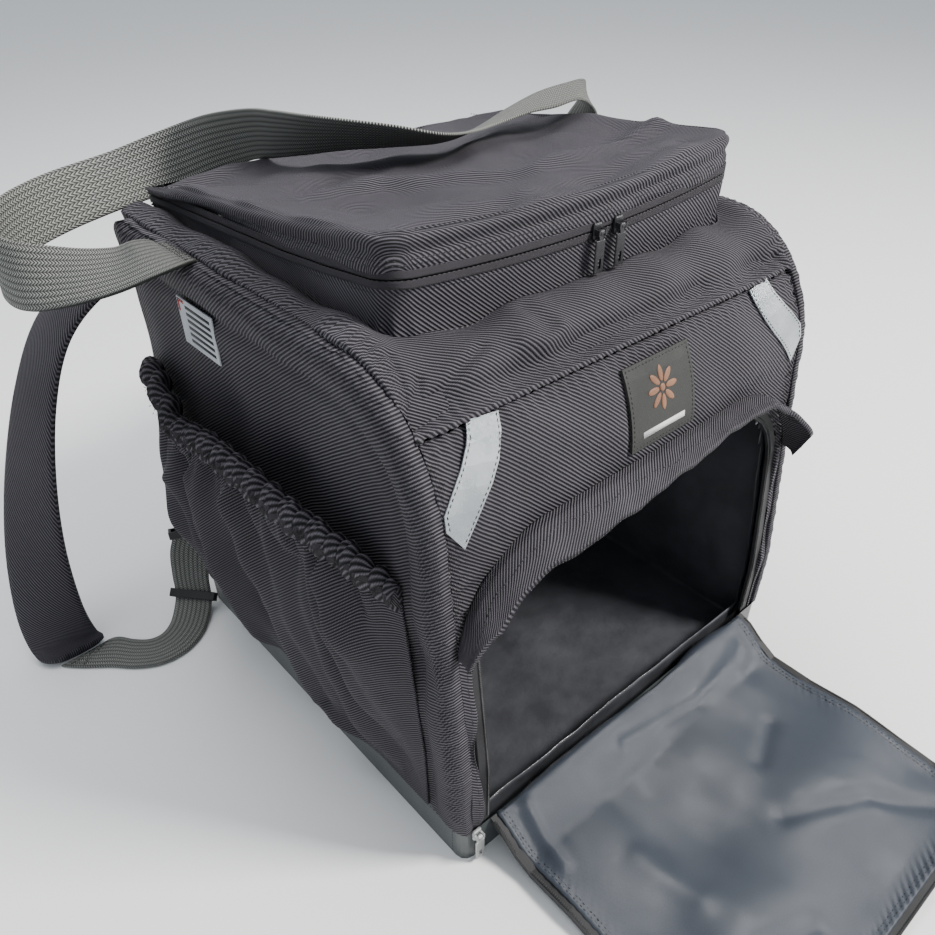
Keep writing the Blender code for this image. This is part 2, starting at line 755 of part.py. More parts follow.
def reflective_strip(name, side, material):
    """A narrow strip of reflective tape sewn on the front from the crease to the side seam."""
    across = 6
    span = CREASE_RISE - SHOULDER_Z

    def centre(share):
        rows = [(n / (len(STRIP_LINE) - 1), line[0], line[1]) for n, line in enumerate(STRIP_LINE)]
        x = between([(s, a) for s, a, b in rows], share) * HALF_WIDTH
        rise = SHOULDER_Z + between([(s, b) for s, a, b in rows], share) * span
        return Vector((x, rise))

    def place(i, j, depth):
        share = i / across
        spot = centre(share)
        ahead = centre(min(share + 0.05, 1.0)) - centre(max(share - 0.05, 0.0))
        sideways = Vector((ahead.y, -ahead.x)).normalized() * STRIP_WIDTH * (0.5 - j)
        x = max(spot.x + sideways.x, -PANEL_END + GAP)
        rise = min(spot.y + sideways.y, CREASE_RISE - GAP)
        lift = TRIM_SEAT + TRIM_THICK * (1 - depth)
        return on_front(-side * x, rise, lift)

    return slab(name, across, 1, place, material)


def front_patch(material):
    """A soft rubber badge sewn under the crease."""
    across = 4
    rows = 6

    def place(i, j, depth):
        x = PATCH_WIDTH * (i / across - 0.5) + BODY_WIDTH * 0.025
        rise = CREASE_RISE - PATCH_DROP + PATCH_HEIGHT * (j / rows - 0.5)
        return on_front(x, rise, TRIM_SEAT + PATCH_THICK * (1 - depth))

    return slab("front_patch", across, rows, place, material)


def side_label(material):
    """A small striped woven label high on the left side."""
    centre = (-HALF_WIDTH - GAP - TRIM_THICK / 2, HALF_DEPTH - LABEL_BACK, BODY_HEIGHT - LABEL_DROP)
    return box("side_label", centre, (TRIM_THICK, LABEL_LENGTH, LABEL_HEIGHT), material)


def zip_slider(name, pin, seat, material):
    """A slider body with two lugs and the pin that its pull hangs on; seat is its back face."""
    thick = SLIDER_THICK
    body = box(name, (pin.x, seat - thick / 2, pin.z), (SLIDER_WIDTH, thick, SLIDER_HEIGHT), material, 0.0008)
    lug_x = SLIDER_WIDTH / 2 - LUG_WIDTH / 2 - 0.0002
    reach = seat - pin.y + PIN_RADIUS * 2
    for side in (-1, 1):
        lug = box(f"{name}_lug_{side}", (pin.x + side * lug_x, seat - reach / 2 - GAP, pin.z),
                  (LUG_WIDTH, reach, PIN_RADIUS * 5), material)
        combine(body, lug, "UNION")
    bar = rod(f"{name}_bar", pin, PIN_RADIUS, 2 * lug_x, "X", material)
    combine(body, bar, "UNION")
    return body


def zip_pull(name, pin, material):
    """A flat tab that hangs from the slider's pin by its eye, with a slot near its lower end."""
    eye = PIN_RADIUS + PIN_CLEARANCE
    knuckle = eye + KNUCKLE_WALL
    neck = SLIDER_WIDTH - 2 * LUG_WIDTH - 0.0014
    body = rod(name, (0, 0, 0), knuckle, neck, "X", material)
    plate = box(f"{name}_plate", (0, 0, -(PULL_LENGTH + knuckle * 2) / 2 - eye),
                (PULL_WIDTH, PULL_THICK, PULL_LENGTH - knuckle * 2), material, 0.0005)
    stem = box(f"{name}_stem", (0, 0, -knuckle * 1.3 - eye / 2), (neck, PULL_THICK, knuckle * 2), material)
    hole = rod(f"{name}_eye", (0, 0, 0), eye, neck * 2, "X", material)
    slot = box(f"{name}_slot", (0, 0, -PULL_LENGTH + SLOT_LENGTH / 2 + 0.002),
               (SLOT_WIDTH, PULL_THICK * 4, SLOT_LENGTH), material)
    combine(body, stem, "UNION")
    combine(body, plate, "UNION")
    combine(body, hole, "DIFFERENCE")
    combine(body, slot, "DIFFERENCE")
    for item in (body, plate, stem, hole, slot):
        item.location = pin
    return body


def spline(points, share):
    """A point on a smooth curve through the route's points, with even speed along its rows."""
    spans = len(points) - 1
    walk = min(share, 0.999999) * spans
    start = int(walk)
    mix = walk - start
    p = [Vector(points[min(max(start + k, 0), spans)]) for k in (-1, 0, 1, 2)]
    tangent_a = (p[2] - p[0]) / 2
    tangent_b = (p[3] - p[1]) / 2
    square = mix * mix
    cube = square * mix
    return (p[1] * (2 * cube - 3 * square + 1) + tangent_a * (cube - 2 * square + mix)
            + p[2] * (3 * square - 2 * cube) + tangent_b * (cube - square))


def band_frame(route, share, side):
    """Middle of a band at a share of its route, with the ways across it, ahead and out of its face."""
    places = [(-side * x * HALF_WIDTH, y * HALF_DEPTH, z * BODY_HEIGHT) for x, y, z, _, _ in route]
    angles = [(heading, tip, 0.0) for _, _, _, heading, tip in route]
    heading, tip, _ = spline(angles, share)
    turn = math.radians(heading)
    lean = math.radians(tip)
    flat = math.cos(lean)
    across = Vector((-side * math.cos(turn) * flat, math.sin(turn) * flat, math.sin(lean)))
    ahead = spline(places, min(share + 0.01, 1.0)) - spline(places, max(share - 0.01, 0.0))
    out = ahead.cross(across).normalized()
    return spline(places, share), across, out.cross(across), out


def band(name, route, width, thick, steps, material, side=-1, round_end=0.0):
    """Flat webbing or a pad along a route of rows (x, y, z, width heading, width tip)."""
    def place(i, j, depth):
        share = i / steps
        spot, across, _, out = band_frame(route, share, side)
        end = min(share, 1 - share) * steps
        taper = 1.0 if end > 1.5 else 1.0 - round_end * (1 - end / 1.5) ** 2
        return spot + across * width * (j - 0.5) * taper + out * thick * (0.5 - depth)

    return slab(name, steps, 1, place, material)


# Places along each strap, as shares of the half width, half depth and height.
# heading turns the direction across the strap about +Z, and tip lifts it.
CARRY_ROUTE = (  # (x, y, z, heading, tip), from the left seam round to the right seam
    (-0.980, 0.467, 1.0034, 90, 0),
    (-1.010, 0.467, 1.0034, 90, 0),
    (-1.045, 0.476, 1.0053, 88, 6),
    (-1.100, 0.524, 0.9952, 80, 12),
    (-1.175, 0.619, 0.9711, 67, 18),
    (-1.295, 0.752, 0.9542, 60, 34),
    (-1.420, 0.929, 0.9446, 52, 62),
    (-1.440, 1.143, 0.9470, 55, 84),
    (-1.310, 1.348, 0.9566, 75, 76),
    (-1.070, 1.443, 0.9735, 85, 58),
    (-0.750, 1.448, 0.9952, 85, 50),
    (-0.530, 1.367, 1.0241, 76, 72),
    (-0.420, 1.200, 1.0610, 64, 98),
    (-0.340, 1.010, 1.0893, 72, 114),
    (-0.310, 0.857, 1.1014, 72, 122),
    (-0.270, 0.700, 1.1122, 65, 131),
    (-0.180, 0.552, 1.1194, 59, 141),
    (-0.050, 0.410, 1.1200, 55, 149),
    (0.100, 0.305, 1.1152, 51, 159),
    (0.260, 0.295, 1.1164, 46, 168),
    (0.450, 0.324, 1.1249, 44, 177),
    (0.620, 0.314, 1.1405, 38, 185),
    (0.750, 0.276, 1.1494, 32, 190),
    (0.870, 0.267, 1.1518, 38, 186),
    (0.970, 0.314, 1.1181, 56, 181),
    (1.030, 0.390, 1.0699, 76, 180),
    (1.050, 0.452, 1.0241, 88, 180),
    (1.015, 0.467, 1.0034, 90, 180),
    (0.980, 0.467, 1.0034, 90, 180),
)
PAD_ROUTE = (  # (x, y, z, heading, tip), from the top of the back over and down to the ground
    (-0.375, 1.0320, 0.720, 0, 0),
    (-0.380, 1.0325, 0.775, 0, 0),
    (-0.395, 1.0900, 0.835, 0, 0),
    (-0.430, 1.2100, 0.855, 14, 0),
    (-0.560, 1.3300, 0.850, 46, 0),
    (-0.780, 1.3800, 0.838, 78, 0),
    (-1.040, 1.3900, 0.806, 90, 0),
    (-1.260, 1.3850, 0.730, 95, 0),
    (-1.430, 1.3650, 0.600, 102, 0),
    (-1.580, 1.3250, 0.430, 114, 0),
    (-1.690, 1.2700, 0.260, 130, 0),
    (-1.750, 1.2000, 0.110, 150, 0),
    (-1.755, 1.1200, 0.030, 168, 0),
    (-1.725, 1.0350, 0.0160, 180, 0),
)
WEB_ROUTE = (  # (x, y, z, heading, tip), from the lower seam round over the ground to the pad's end
    (-0.870, 1.010, 0.4000, 0, 0),
    (-0.875, 1.010, 0.3398, 0, 0),
    (-0.925, 1.048, 0.2699, -8, 0),
    (-0.980, 1.076, 0.2048, -20, 0),
    (-1.040, 1.081, 0.1349, -36, 0),
    (-1.083, 1.045, 0.0723, -48, 0),
    (-1.117, 0.983, 0.0301, -50, 0),
    (-1.180, 0.907, 0.0096, -50, 0),
    (-1.250, 0.840, 0.0053, -58, 0),
    (-1.335, 0.800, 0.0053, -76, 0),
    (-1.430, 0.805, 0.0053, -98, 0),
    (-1.515, 0.860, 0.0053, -114, 0),
    (-1.585, 0.936, 0.0053, -128, 0),
    (-1.660, 0.987, 0.0053, -152, 0),
    (-1.725, 1.021, 0.0053, -178, 0),
)
GLIDE_PLACE = 5.9
LOCK_PLACE = 3.2


def buckle(name, place, side, material):
    """A plastic frame that the webbing runs through, at a place counted in rows of its route."""
    spot, across, ahead, out = band_frame(WEB_ROUTE, place / (len(WEB_ROUTE) - 1), side)
    turn = Matrix((across, ahead, out)).transposed().to_4x4()
    turn.translation = spot
    hole = (WEB_WIDTH + 2 * BUCKLE_CLEARANCE, BUCKLE_LENGTH * 3, WEB_THICK + 2 * BUCKLE_CLEARANCE)
    shell = (hole[0] + 4 * BUCKLE_WALL, BUCKLE_LENGTH, hole[2] + 2 * BUCKLE_WALL)
    body = box(name, (0, 0, 0), shell, material, BUCKLE_WALL / 3)
    slot = box(f"{name}_slot", (0, 0, 0), hole, material)
    combine(body, slot, "DIFFERENCE")
    body.matrix_world = turn
    slot.matrix_world = turn
    return body


twill = finish("twill", (0.020, 0.021, 0.030), 0.75)
vinyl = finish("vinyl", (0.060, 0.068, 0.070), 0.42)
nylon = finish("nylon", (0.045, 0.055, 0.075), 0.38)
tape = finish("zip_tape", (0.030, 0.030, 0.032), 0.6)
webbing = finish("webbing", (0.045, 0.050, 0.045), 0.85)
reflector = finish("reflector", (0.33, 0.37, 0.38), 0.25)
rubber = finish("rubber", (0.055, 0.058, 0.050), 0.6)
woven = finish("woven_label", (0.60, 0.62, 0.64), 0.8)
gunmetal = finish("gunmetal", (0.06, 0.06, 0.065), 0.3, 0.9)
grey_metal = finish("grey_metal", (0.42, 0.43, 0.43), 0.35, 0.8)
plastic = finish("black_plastic", (0.015, 0.016, 0.018), 0.35)

base_boot(vinyl)
front_panel(twill)
top_panel(twill)
back_panel(twill)
compartment_wall(twill)
top_zip(tape)
lid(twill)
mouth_zip(tape)
awning(twill)
door_flap(nylon)
door_zip(tape)
front_patch(rubber)
side_label(woven)
band("carry_strap", CARRY_ROUTE, CARRY_WIDTH, WEB_THICK, 52, webbing)

for label, side in (("left", -1), ("right", 1)):
    side_panel(f"side_panel_{label}", side, twill)
    side_pocket(f"side_pocket_{label}", side, twill)
    pocket_hem(f"pocket_hem_{label}", side, twill)
    reflective_strip(f"reflective_strip_{label}", side, reflector)
    band(f"shoulder_pad_{label}", PAD_ROUTE, PAD_WIDTH, PAD_THICK, 30, twill, side=side, round_end=0.3)
    band(f"shoulder_webbing_{label}", WEB_ROUTE, WEB_WIDTH, WEB_THICK, 42, webbing, side=side)
    buckle(f"tri_glide_{label}", GLIDE_PLACE, side, plastic)
    buckle(f"ladder_lock_{label}", LOCK_PLACE, side, plastic)

top_seat = TOP_FACE - TOP_BOW - GAP
top_zip_middle = zip_height(0.0, TOP_FACE - TOP_BOW)
for number, x in enumerate((0.0, TOP_PULL_SPACING), start=1):
    pin = Vector((x, top_seat - PIN_REACH, top_zip_middle))
    zip_slider(f"top_slider_{number}", pin, top_seat, gunmetal)
    zip_pull(f"top_pull_{number}", pin, gunmetal)

door_seat = -HALF_DEPTH - GAP
door_pin = Vector((-HALF_WIDTH + DOOR_PULL_INSET, door_seat - PIN_REACH, BOOT_HEIGHT - SLIDER_HEIGHT / 4))
zip_slider("door_slider", door_pin, door_seat, grey_metal)
zip_pull("door_pull", door_pin, grey_metal)
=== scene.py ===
"""Looks for the insulated delivery backpack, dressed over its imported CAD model.

Metres, +Z up, front towards -Y. The sections follow the bag as it is sewn
together: foot, lining, panels, top compartment, mouth, door, pockets, trim, straps.
"""
import math

import bmesh
import bpy
import numpy as np
from mathutils import Matrix, Vector
from mathutils.bvhtree import BVHTree


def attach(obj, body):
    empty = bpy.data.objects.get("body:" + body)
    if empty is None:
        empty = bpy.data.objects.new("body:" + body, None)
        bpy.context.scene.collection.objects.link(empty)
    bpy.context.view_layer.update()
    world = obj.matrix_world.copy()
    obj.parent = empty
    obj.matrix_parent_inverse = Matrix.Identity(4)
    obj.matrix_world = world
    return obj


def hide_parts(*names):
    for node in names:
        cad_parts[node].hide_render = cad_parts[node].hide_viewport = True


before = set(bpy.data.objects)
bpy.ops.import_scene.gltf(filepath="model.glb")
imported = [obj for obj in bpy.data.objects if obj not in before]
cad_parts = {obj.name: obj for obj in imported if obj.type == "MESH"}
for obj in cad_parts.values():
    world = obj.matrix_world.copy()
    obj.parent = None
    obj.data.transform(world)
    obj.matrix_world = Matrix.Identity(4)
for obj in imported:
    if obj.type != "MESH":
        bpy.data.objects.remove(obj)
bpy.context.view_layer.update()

# ---- Foot: a moulded tray of grey-green coated vinyl, folded up 36 mm round the base.
# The panels are sewn into its upper edge with a row of black thread, and each
# corner is closed with a stitched seam.
BODY_WIDTH = 0.400
BODY_DEPTH = 0.420
BODY_HEIGHT = 0.415
HALF_WIDTH = BODY_WIDTH / 2
HALF_DEPTH = BODY_DEPTH / 2
BOOT_HEIGHT = 0.036
GAP = 0.0003


def add_node(tree, kind, values=None, **sockets):
    """A shader node with its settings and inputs; an input given as a socket is linked.

    An input is named by its label, or by s and its number where labels repeat.
    """
    made = tree.nodes.new(kind)
    for key, value in (values or {}).items():
        setattr(made, key, value)
    for key, value in sockets.items():
        socket = made.inputs[int(key[1:])] if key[1:].isdigit() else made.inputs[key.replace("_", " ")]
        if isinstance(value, bpy.types.NodeSocket):
            tree.links.new(value, socket)
        else:
            socket.default_value = value
    return made


def start_group(name, inputs, outputs):
    """An empty node group with named sockets: the tree, its inputs and its outputs."""
    group = bpy.data.node_groups.new(name, "ShaderNodeTree")
    for label, kind in inputs.items():
        group.interface.new_socket(label, in_out="INPUT", socket_type=f"NodeSocket{kind}")
    for label, kind in outputs.items():
        group.interface.new_socket(label, in_out="OUTPUT", socket_type=f"NodeSocket{kind}")
    return group, group.nodes.new("NodeGroupInput").outputs, group.nodes.new("NodeGroupOutput").inputs


def calc(tree, operation, a, b=0.0, c=0.0):
    """The output of one Math node."""
    return add_node(tree, "ShaderNodeMath", {"operation": operation}, s0=a, s1=b, s2=c).outputs[0]


def mix_colour(tree, factor, dark, light):
    """The output of one colour Mix node."""
    return add_node(tree, "ShaderNodeMix", {"data_type": "RGBA"}, s0=factor, s6=dark, s7=light).outputs[2]


def clouds(tree, scale, low, high, detail=3.0, place=None):
    """Soft clouds over the object, spread between two values."""
    where = place or add_node(tree, "ShaderNodeTexCoord").outputs["Object"]
    cloud = add_node(tree, "ShaderNodeTexNoise", Vector=where, Scale=scale, Detail=detail).outputs["Fac"]
    return add_node(tree, "ShaderNodeMapRange", s0=cloud, s1=0.32, s2=0.68, s3=low, s4=high).outputs[0]


def new_finish(name, **constants):
    """A material with its node tree and Principled shader, with the given constant inputs."""
    material = bpy.data.materials.new(name)
    material.use_nodes = True
    shader = material.node_tree.nodes["Principled BSDF"]
    for key, value in constants.items():
        shader.inputs[key.replace("_", " ")].default_value = value
    return material, material.node_tree, shader


def wear(tree, shader, skin, relief):
    """Feeds a skin's colour, roughness and height into the shader."""
    tree.links.new(skin.outputs["Color"], shader.inputs["Base Color"])
    tree.links.new(skin.outputs["Roughness"], shader.inputs["Roughness"])
    bump = add_node(tree, "ShaderNodeBump", Height=skin.outputs["Height"], Distance=relief)
    tree.links.new(bump.outputs[0], shader.inputs["Normal"])


SKIN = {"Color": "Color", "Roughness": "Float", "Height": "Float"}
pebbled, pebbled_in, pebbled_out = start_group(
    "Pebbled skin", {"Scale": "Float", "Dark": "Color", "Light": "Color", "Gloss": "Float"}, SKIN)
pebble_place = add_node(pebbled, "ShaderNodeTexCoord").outputs["Object"]
pebble = add_node(pebbled, "ShaderNodeTexVoronoi", {"feature": "DISTANCE_TO_EDGE"},
                  Vector=pebble_place, Scale=pebbled_in["Scale"])
scuff = clouds(pebbled, 26.0, 0.0, 1.0, 5.0)
pebbled.links.new(mix_colour(pebbled, scuff, pebbled_in["Dark"], pebbled_in["Light"]), pebbled_out["Color"])
pebbled.links.new(calc(pebbled, "MULTIPLY_ADD", scuff, 0.16, pebbled_in["Gloss"]), pebbled_out["Roughness"])
pebbled.links.new(pebble.outputs[0], pebbled_out["Height"])


def coated(name, dark, light, gloss, scale=900.0, relief=0.0002, **constants):
    """Vinyl, rubber, thread or moulded plastic with a fine pebbled skin."""
    material, tree, shader = new_finish(name, **constants)
    skin = add_node(tree, "ShaderNodeGroup", {"node_tree": pebbled},
                    Scale=scale, Dark=(*dark, 1), Light=(*light, 1), Gloss=gloss)
    wear(tree, shader, skin, relief)
    return material


def add_piece(name, bm, material, slot, *stands_for, body="bag"):
    """A finished piece from a bmesh, riding on a body of the frame."""
    mesh = bpy.data.meshes.new(name)
    bm.to_mesh(mesh)
    bm.free()
    mesh.shade_smooth()
    mesh.materials.append(material)
    piece = bpy.data.objects.new(name, mesh)
    bpy.context.scene.collection.objects.link(piece)
    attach(piece, body)
    if stands_for:
        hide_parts(*stands_for)
    return piece


def refinish(material, *nodes):
    """Gives CAD nodes whose shape is right their real material."""
    for node in nodes:
        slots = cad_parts[node].data.materials
        slots.clear()
        slots.append(material)


def sew(name, runs, material, slot="twill", length=0.0030, gap=0.0012, width=0.0008, body="bag"):
    """Rows of single stitches; each run is a list of (place, way out) along a seam."""
    bm = bmesh.new()
    for run in runs:
        travelled = due = 0.0
        for (start, out), (stop, _) in zip(run, run[1:]):
            step = (stop - start).length
            ahead = (stop - start) / max(step, 1e-9)
            side = out.cross(ahead).normalized()
            while due < travelled + step:
                turn = Matrix((ahead * length, side * width, out * width)).transposed().to_4x4()
                turn.translation = start + ahead * (due - travelled)
                bmesh.ops.create_icosphere(bm, subdivisions=1, radius=0.5, matrix=turn)
                due += length + gap
            travelled += step
    return add_piece(name, bm, material, slot, body=body)


vinyl = coated("Grey-green vinyl", (0.030, 0.036, 0.038), (0.060, 0.070, 0.070), 0.34, Coat_Weight=0.15)
black_thread = coated("Black thread", (0.010, 0.010, 0.012), (0.030, 0.030, 0.034), 0.6, 3000.0)
refinish(vinyl, "base_boot")
foot_rows = []
for side in (-1, 1):
    out = Vector((side, 0, 0))
    foot_rows.append([(Vector((side * HALF_WIDTH, y, BOOT_HEIGHT - 0.0035)), out)
                      for y in (-HALF_DEPTH + 0.012, HALF_DEPTH - 0.012)])
    for y in (-HALF_DEPTH + 0.014, HALF_DEPTH - 0.014):
        foot_rows.append([(Vector((side * HALF_WIDTH, y, z)), out) for z in (0.004, BOOT_HEIGHT - 0.006)])
foot_rows.append([(Vector((x, HALF_DEPTH, BOOT_HEIGHT - 0.0035)), Vector((0, 1, 0)))
                  for x in (-HALF_WIDTH + 0.012, HALF_WIDTH - 0.012)])
sew("foot_stitches", foot_rows, black_thread, "vinyl")

# ---- Lining: one bag of shiny black film, welded to the foam, slack in the corners.
# It covers the floor, the walls and the inside of the front, and is open
# at the mouth and under the lid.
LEAN_START = 0.100
FRONT_LEAN = 0.020
SHOULDER_RUN = 0.090
SHOULDER_RISE = 0.115
WALL = 0.008
SIDE_WALL = 0.009
MOUTH_WIDTH = 0.364
MOUTH_TOP = 0.290
MOUTH_RADIUS = 0.075
ZIP_BAND = 0.010
SHOULDER_Z = BODY_HEIGHT - SHOULDER_RISE
SHOULDER_Y = -HALF_DEPTH + FRONT_LEAN + SHOULDER_RUN
PANEL_END = HALF_WIDTH - SIDE_WALL - GAP
PANEL_FOOT = BOOT_HEIGHT + GAP
SPRING_RISE = MOUTH_TOP - MOUTH_RADIUS
LINING_CLEARANCE = 0.0022
LINING_FLOOR = 0.0085
LINING_TOP = BODY_HEIGHT - WALL - LINING_CLEARANCE
LINING_CUTS = 64


def smooth(value):
    """An even ease from 0 to 1, for a number or an array."""
    value = np.clip(value, 0.0, 1.0)
    return value * value * (3 - 2 * value)


def front_line(height, inset):
    """Depth (y) of the front's inside or outside at a height, for a number or an array."""
    lean = FRONT_LEAN * np.clip((height - LEAN_START) / (SHOULDER_Z - LEAN_START), 0.0, 1.0)
    up = np.clip((height - SHOULDER_Z) / (SHOULDER_RISE - inset), 0.0, 1.0)
    run = SHOULDER_RUN - inset
    return -HALF_DEPTH + lean + inset + run * (1 - np.sqrt(1 - up * up))


def waves(places, seed, length, height, count=9):
    """Slack in cloth: a sum of seeded sine waves over an array of places, in metres."""
    draw = np.random.default_rng(seed)
    total = np.zeros(len(places))
    for _ in range(count):
        way = draw.normal(size=places.shape[1])
        way *= 2 * math.pi / (length * draw.uniform(0.7, 1.6)) / np.linalg.norm(way)
        total += np.sin(places @ way + draw.uniform(0, 2 * math.pi))
    return total * height / math.sqrt(count)


def read_places(mesh):
    """A mesh's places and vertex normals as arrays."""
    places = np.zeros(len(mesh.vertices) * 3)
    normals = np.zeros(len(mesh.vertices) * 3)
    mesh.vertices.foreach_get("co", places)
    mesh.vertex_normals.foreach_get("vector", normals)
    return places.reshape(-1, 3), normals.reshape(-1, 3)


def set_places(mesh, places):
    """Writes an array of places back to a mesh."""
    mesh.vertices.foreach_set("co", np.asarray(places).ravel())
    mesh.update()


def film(name, dark, light, gloss, **constants):
    """Thin coated film: nearly black, glossy, with fine crumples, and lighter cloud patches painted into its
    colour as soft reflections.
    """
    material, tree, shader = new_finish(name, **constants)
    crumple_and_reflection = clouds(tree, 34.0, 0.0, 1.0, 6.0)
    # The same clouds that bump the crumples paint lighter patches into the colour: painted soft reflections
    # on the film.
    tree.links.new(mix_colour(tree, crumple_and_reflection, (*dark, 1), (*light, 1)), shader.inputs["Base Color"])
    dull = calc(tree, "MULTIPLY_ADD", clouds(tree, 9.0, 0.0, 1.0), 0.22, gloss)
    tree.links.new(dull, shader.inputs["Roughness"])
    bump = add_node(tree, "ShaderNodeBump", Height=crumple_and_reflection, Distance=0.0016, Strength=0.6)
    tree.links.new(bump.outputs[0], shader.inputs["Normal"])
    return material


lining_film = film("Black lining film", (0.040, 0.041, 0.047), (0.062, 0.064, 0.073), 0.22, Coat_Weight=0.8)
bm = bmesh.new()
bmesh.ops.create_cube(bm, size=1.0)
bmesh.ops.subdivide_edges(bm, edges=bm.edges[:], cuts=LINING_CUTS, use_grid_fill=True)
open_faces = []
for face in bm.faces:
    middle = face.calc_center_median()
    x = abs(middle.x) * 2 * PANEL_END
    z = LINING_FLOOR + (middle.z + 0.5) * (LINING_TOP - LINING_FLOOR)
    over = max(x - MOUTH_WIDTH / 2 + MOUTH_RADIUS, 0.0)
    reach = MOUTH_RADIUS - ZIP_BAND / 2
    crown = SPRING_RISE + math.sqrt(max(reach * reach - over * over, 0.0))
    if middle.y < -0.499 and PANEL_FOOT < z < crown and x < MOUTH_WIDTH / 2 - ZIP_BAND / 2:
        open_faces.append(face)
    if middle.z > 0.499 and x < 0.155 and middle.y > -0.22:
        open_faces.append(face)
bmesh.ops.delete(bm, geom=open_faces, context="FACES")
lining = add_piece("lining", bm, lining_film, "nylon")
places, normals = read_places(lining.data)
height = LINING_FLOOR + (places[:, 2] + 0.5) * (LINING_TOP - LINING_FLOOR)
near = front_line(height, WALL) + LINING_CLEARANCE
far = HALF_DEPTH - WALL - LINING_CLEARANCE
shaped = np.stack([places[:, 0] * 2 * (PANEL_END - LINING_CLEARANCE),
                   near + (places[:, 1] + 0.5) * (far - near), height], axis=1)
slack = 0.0014 * (1 + np.tanh(waves(shaped, 4, 0.11, 1.0)))
slack = slack + 0.0005 * (1 + np.tanh(waves(shaped, 5, 0.035, 1.0)))
faces_in = -np.sign(places) * (np.abs(places) > 0.4999)
set_places(lining.data, shaped + faces_in * slack[:, None])
lining.modifiers.new("Film", "SOLIDIFY").thickness = 0.0006

# ---- Padded panels: foam between the lining and a heavy navy-black twill, sewn edge to edge.
# Each side has a piped roll along its front and top edge. The yoke runs over the
# shoulder and meets the front in a crease that is gathered at its left end.
EDGE_TURN = 0.003
ROLL_WIDTH = 0.034
ROLL_PUFF = 0.005
BACK_CORNER = 0.020
JAMB_STEPS = 7
CORNER_STEPS = 6
CROWN_STEPS = 5
SHOULDER_LENGTH = math.pi / 4 * (3 * (SHOULDER_RUN + SHOULDER_RISE) - math.sqrt(
    (3 * SHOULDER_RUN + SHOULDER_RISE) * (SHOULDER_RUN + 3 * SHOULDER_RISE)))
CREASE_RISE = SHOULDER_Z + SHOULDER_LENGTH * 44 / 90
TOP_RISE = SHOULDER_Z + SHOULDER_LENGTH
HALF_STEPS = JAMB_STEPS + CORNER_STEPS + CROWN_STEPS
MOUTH_STEPS = 2 * HALF_STEPS
RIB_PITCH = 0.0023
PANEL_SLANT = 50
SIDE_SLANT = 55


def start_weave(name):
    """A node group for woven cloth: its tree, inputs, outputs and the place on the flat cloth."""
    group, inputs, outputs = start_group(
        name, {"Pitch": "Float", "Dark": "Color", "Light": "Color", "Dust": "Color", "Gloss": "Float"}, SKIN)
    return group, inputs, outputs, add_node(
        group, "ShaderNodeAttribute", {"attribute_name": "weave"}).outputs["Vector"]


def ripple(tree, turns):
    """A wave between 0 and 1 over a number of turns."""
    sine = calc(tree, "SINE", calc(tree, "MULTIPLY", turns, 2 * math.pi))
    return calc(tree, "MULTIPLY_ADD", sine, 0.5, 0.5)


ribs, ribs_in, ribs_out, cloth_place = start_weave("Twill ribs")
drift = add_node(ribs, "ShaderNodeTexNoise", Vector=cloth_place, Scale=45.0, Detail=2.0).outputs["Fac"]
across, along, _ = add_node(ribs, "ShaderNodeSeparateXYZ", Vector=cloth_place).outputs
turns = calc(ribs, "DIVIDE", across, ribs_in["Pitch"])
turns = calc(ribs, "MULTIPLY_ADD", drift, 0.5, turns)
ridge = ripple(ribs, turns)
threads = calc(ribs, "DIVIDE", calc(ribs, "MULTIPLY_ADD", across, -0.9, along),
               calc(ribs, "MULTIPLY", ribs_in["Pitch"], 0.42))
strand = ripple(ribs, threads)
lift = calc(ribs, "MULTIPLY_ADD", strand, 0.22, calc(ribs, "POWER", ridge, 0.8))
fuzz = add_node(ribs, "ShaderNodeTexNoise", Vector=cloth_place, Scale=1400.0, Detail=2.0).outputs["Fac"]
# The colour's light ribs are partly the twill's own floats and partly painted highlight, and the near-black
# between them is painted shade in the valleys.
rib_pattern_and_highlight = calc(ribs, "MULTIPLY", calc(ribs, "POWER", ridge, 1.8),
             calc(ribs, "MULTIPLY_ADD", strand, 0.45, 0.55))
rib_pattern_and_highlight = calc(ribs, "MULTIPLY", rib_pattern_and_highlight, calc(ribs, "MULTIPLY_ADD", fuzz, 1.2, 0.4))
worn = clouds(ribs, 7.0, 0.0, 0.35, 4.0)
tone = mix_colour(ribs, rib_pattern_and_highlight, ribs_in["Dark"], ribs_in["Light"])
tone = mix_colour(ribs, calc(ribs, "MULTIPLY", worn, rib_pattern_and_highlight), tone, ribs_in["Dust"])
ribs.links.new(tone, ribs_out["Color"])
ribs.links.new(calc(ribs, "MULTIPLY_ADD", fuzz, 0.2, ribs_in["Gloss"]), ribs_out["Roughness"])
ribs.links.new(lift, ribs_out["Height"])


def woven(name, weave_group, pitch, dark, light, dust, gloss, relief, **constants):
    """Cloth or webbing whose threads follow the piece's own weave coordinates."""
    material, tree, shader = new_finish(name, **constants)
    skin = add_node(tree, "ShaderNodeGroup", {"node_tree": weave_group},
                    Pitch=pitch, Dark=(*dark, 1), Light=(*light, 1), Dust=(*dust, 1), Gloss=gloss)
    wear(tree, shader, skin, relief)
    return material


# The Light colour of the ribs carries painted highlight as well as the floats' own tone.
twill = woven("Navy-black twill", ribs, RIB_PITCH, (0.003, 0.003, 0.005), (0.125, 0.112, 0.132),
              (0.20, 0.19, 0.22), 0.60, 0.0007, Specular_IOR_Level=0.28)


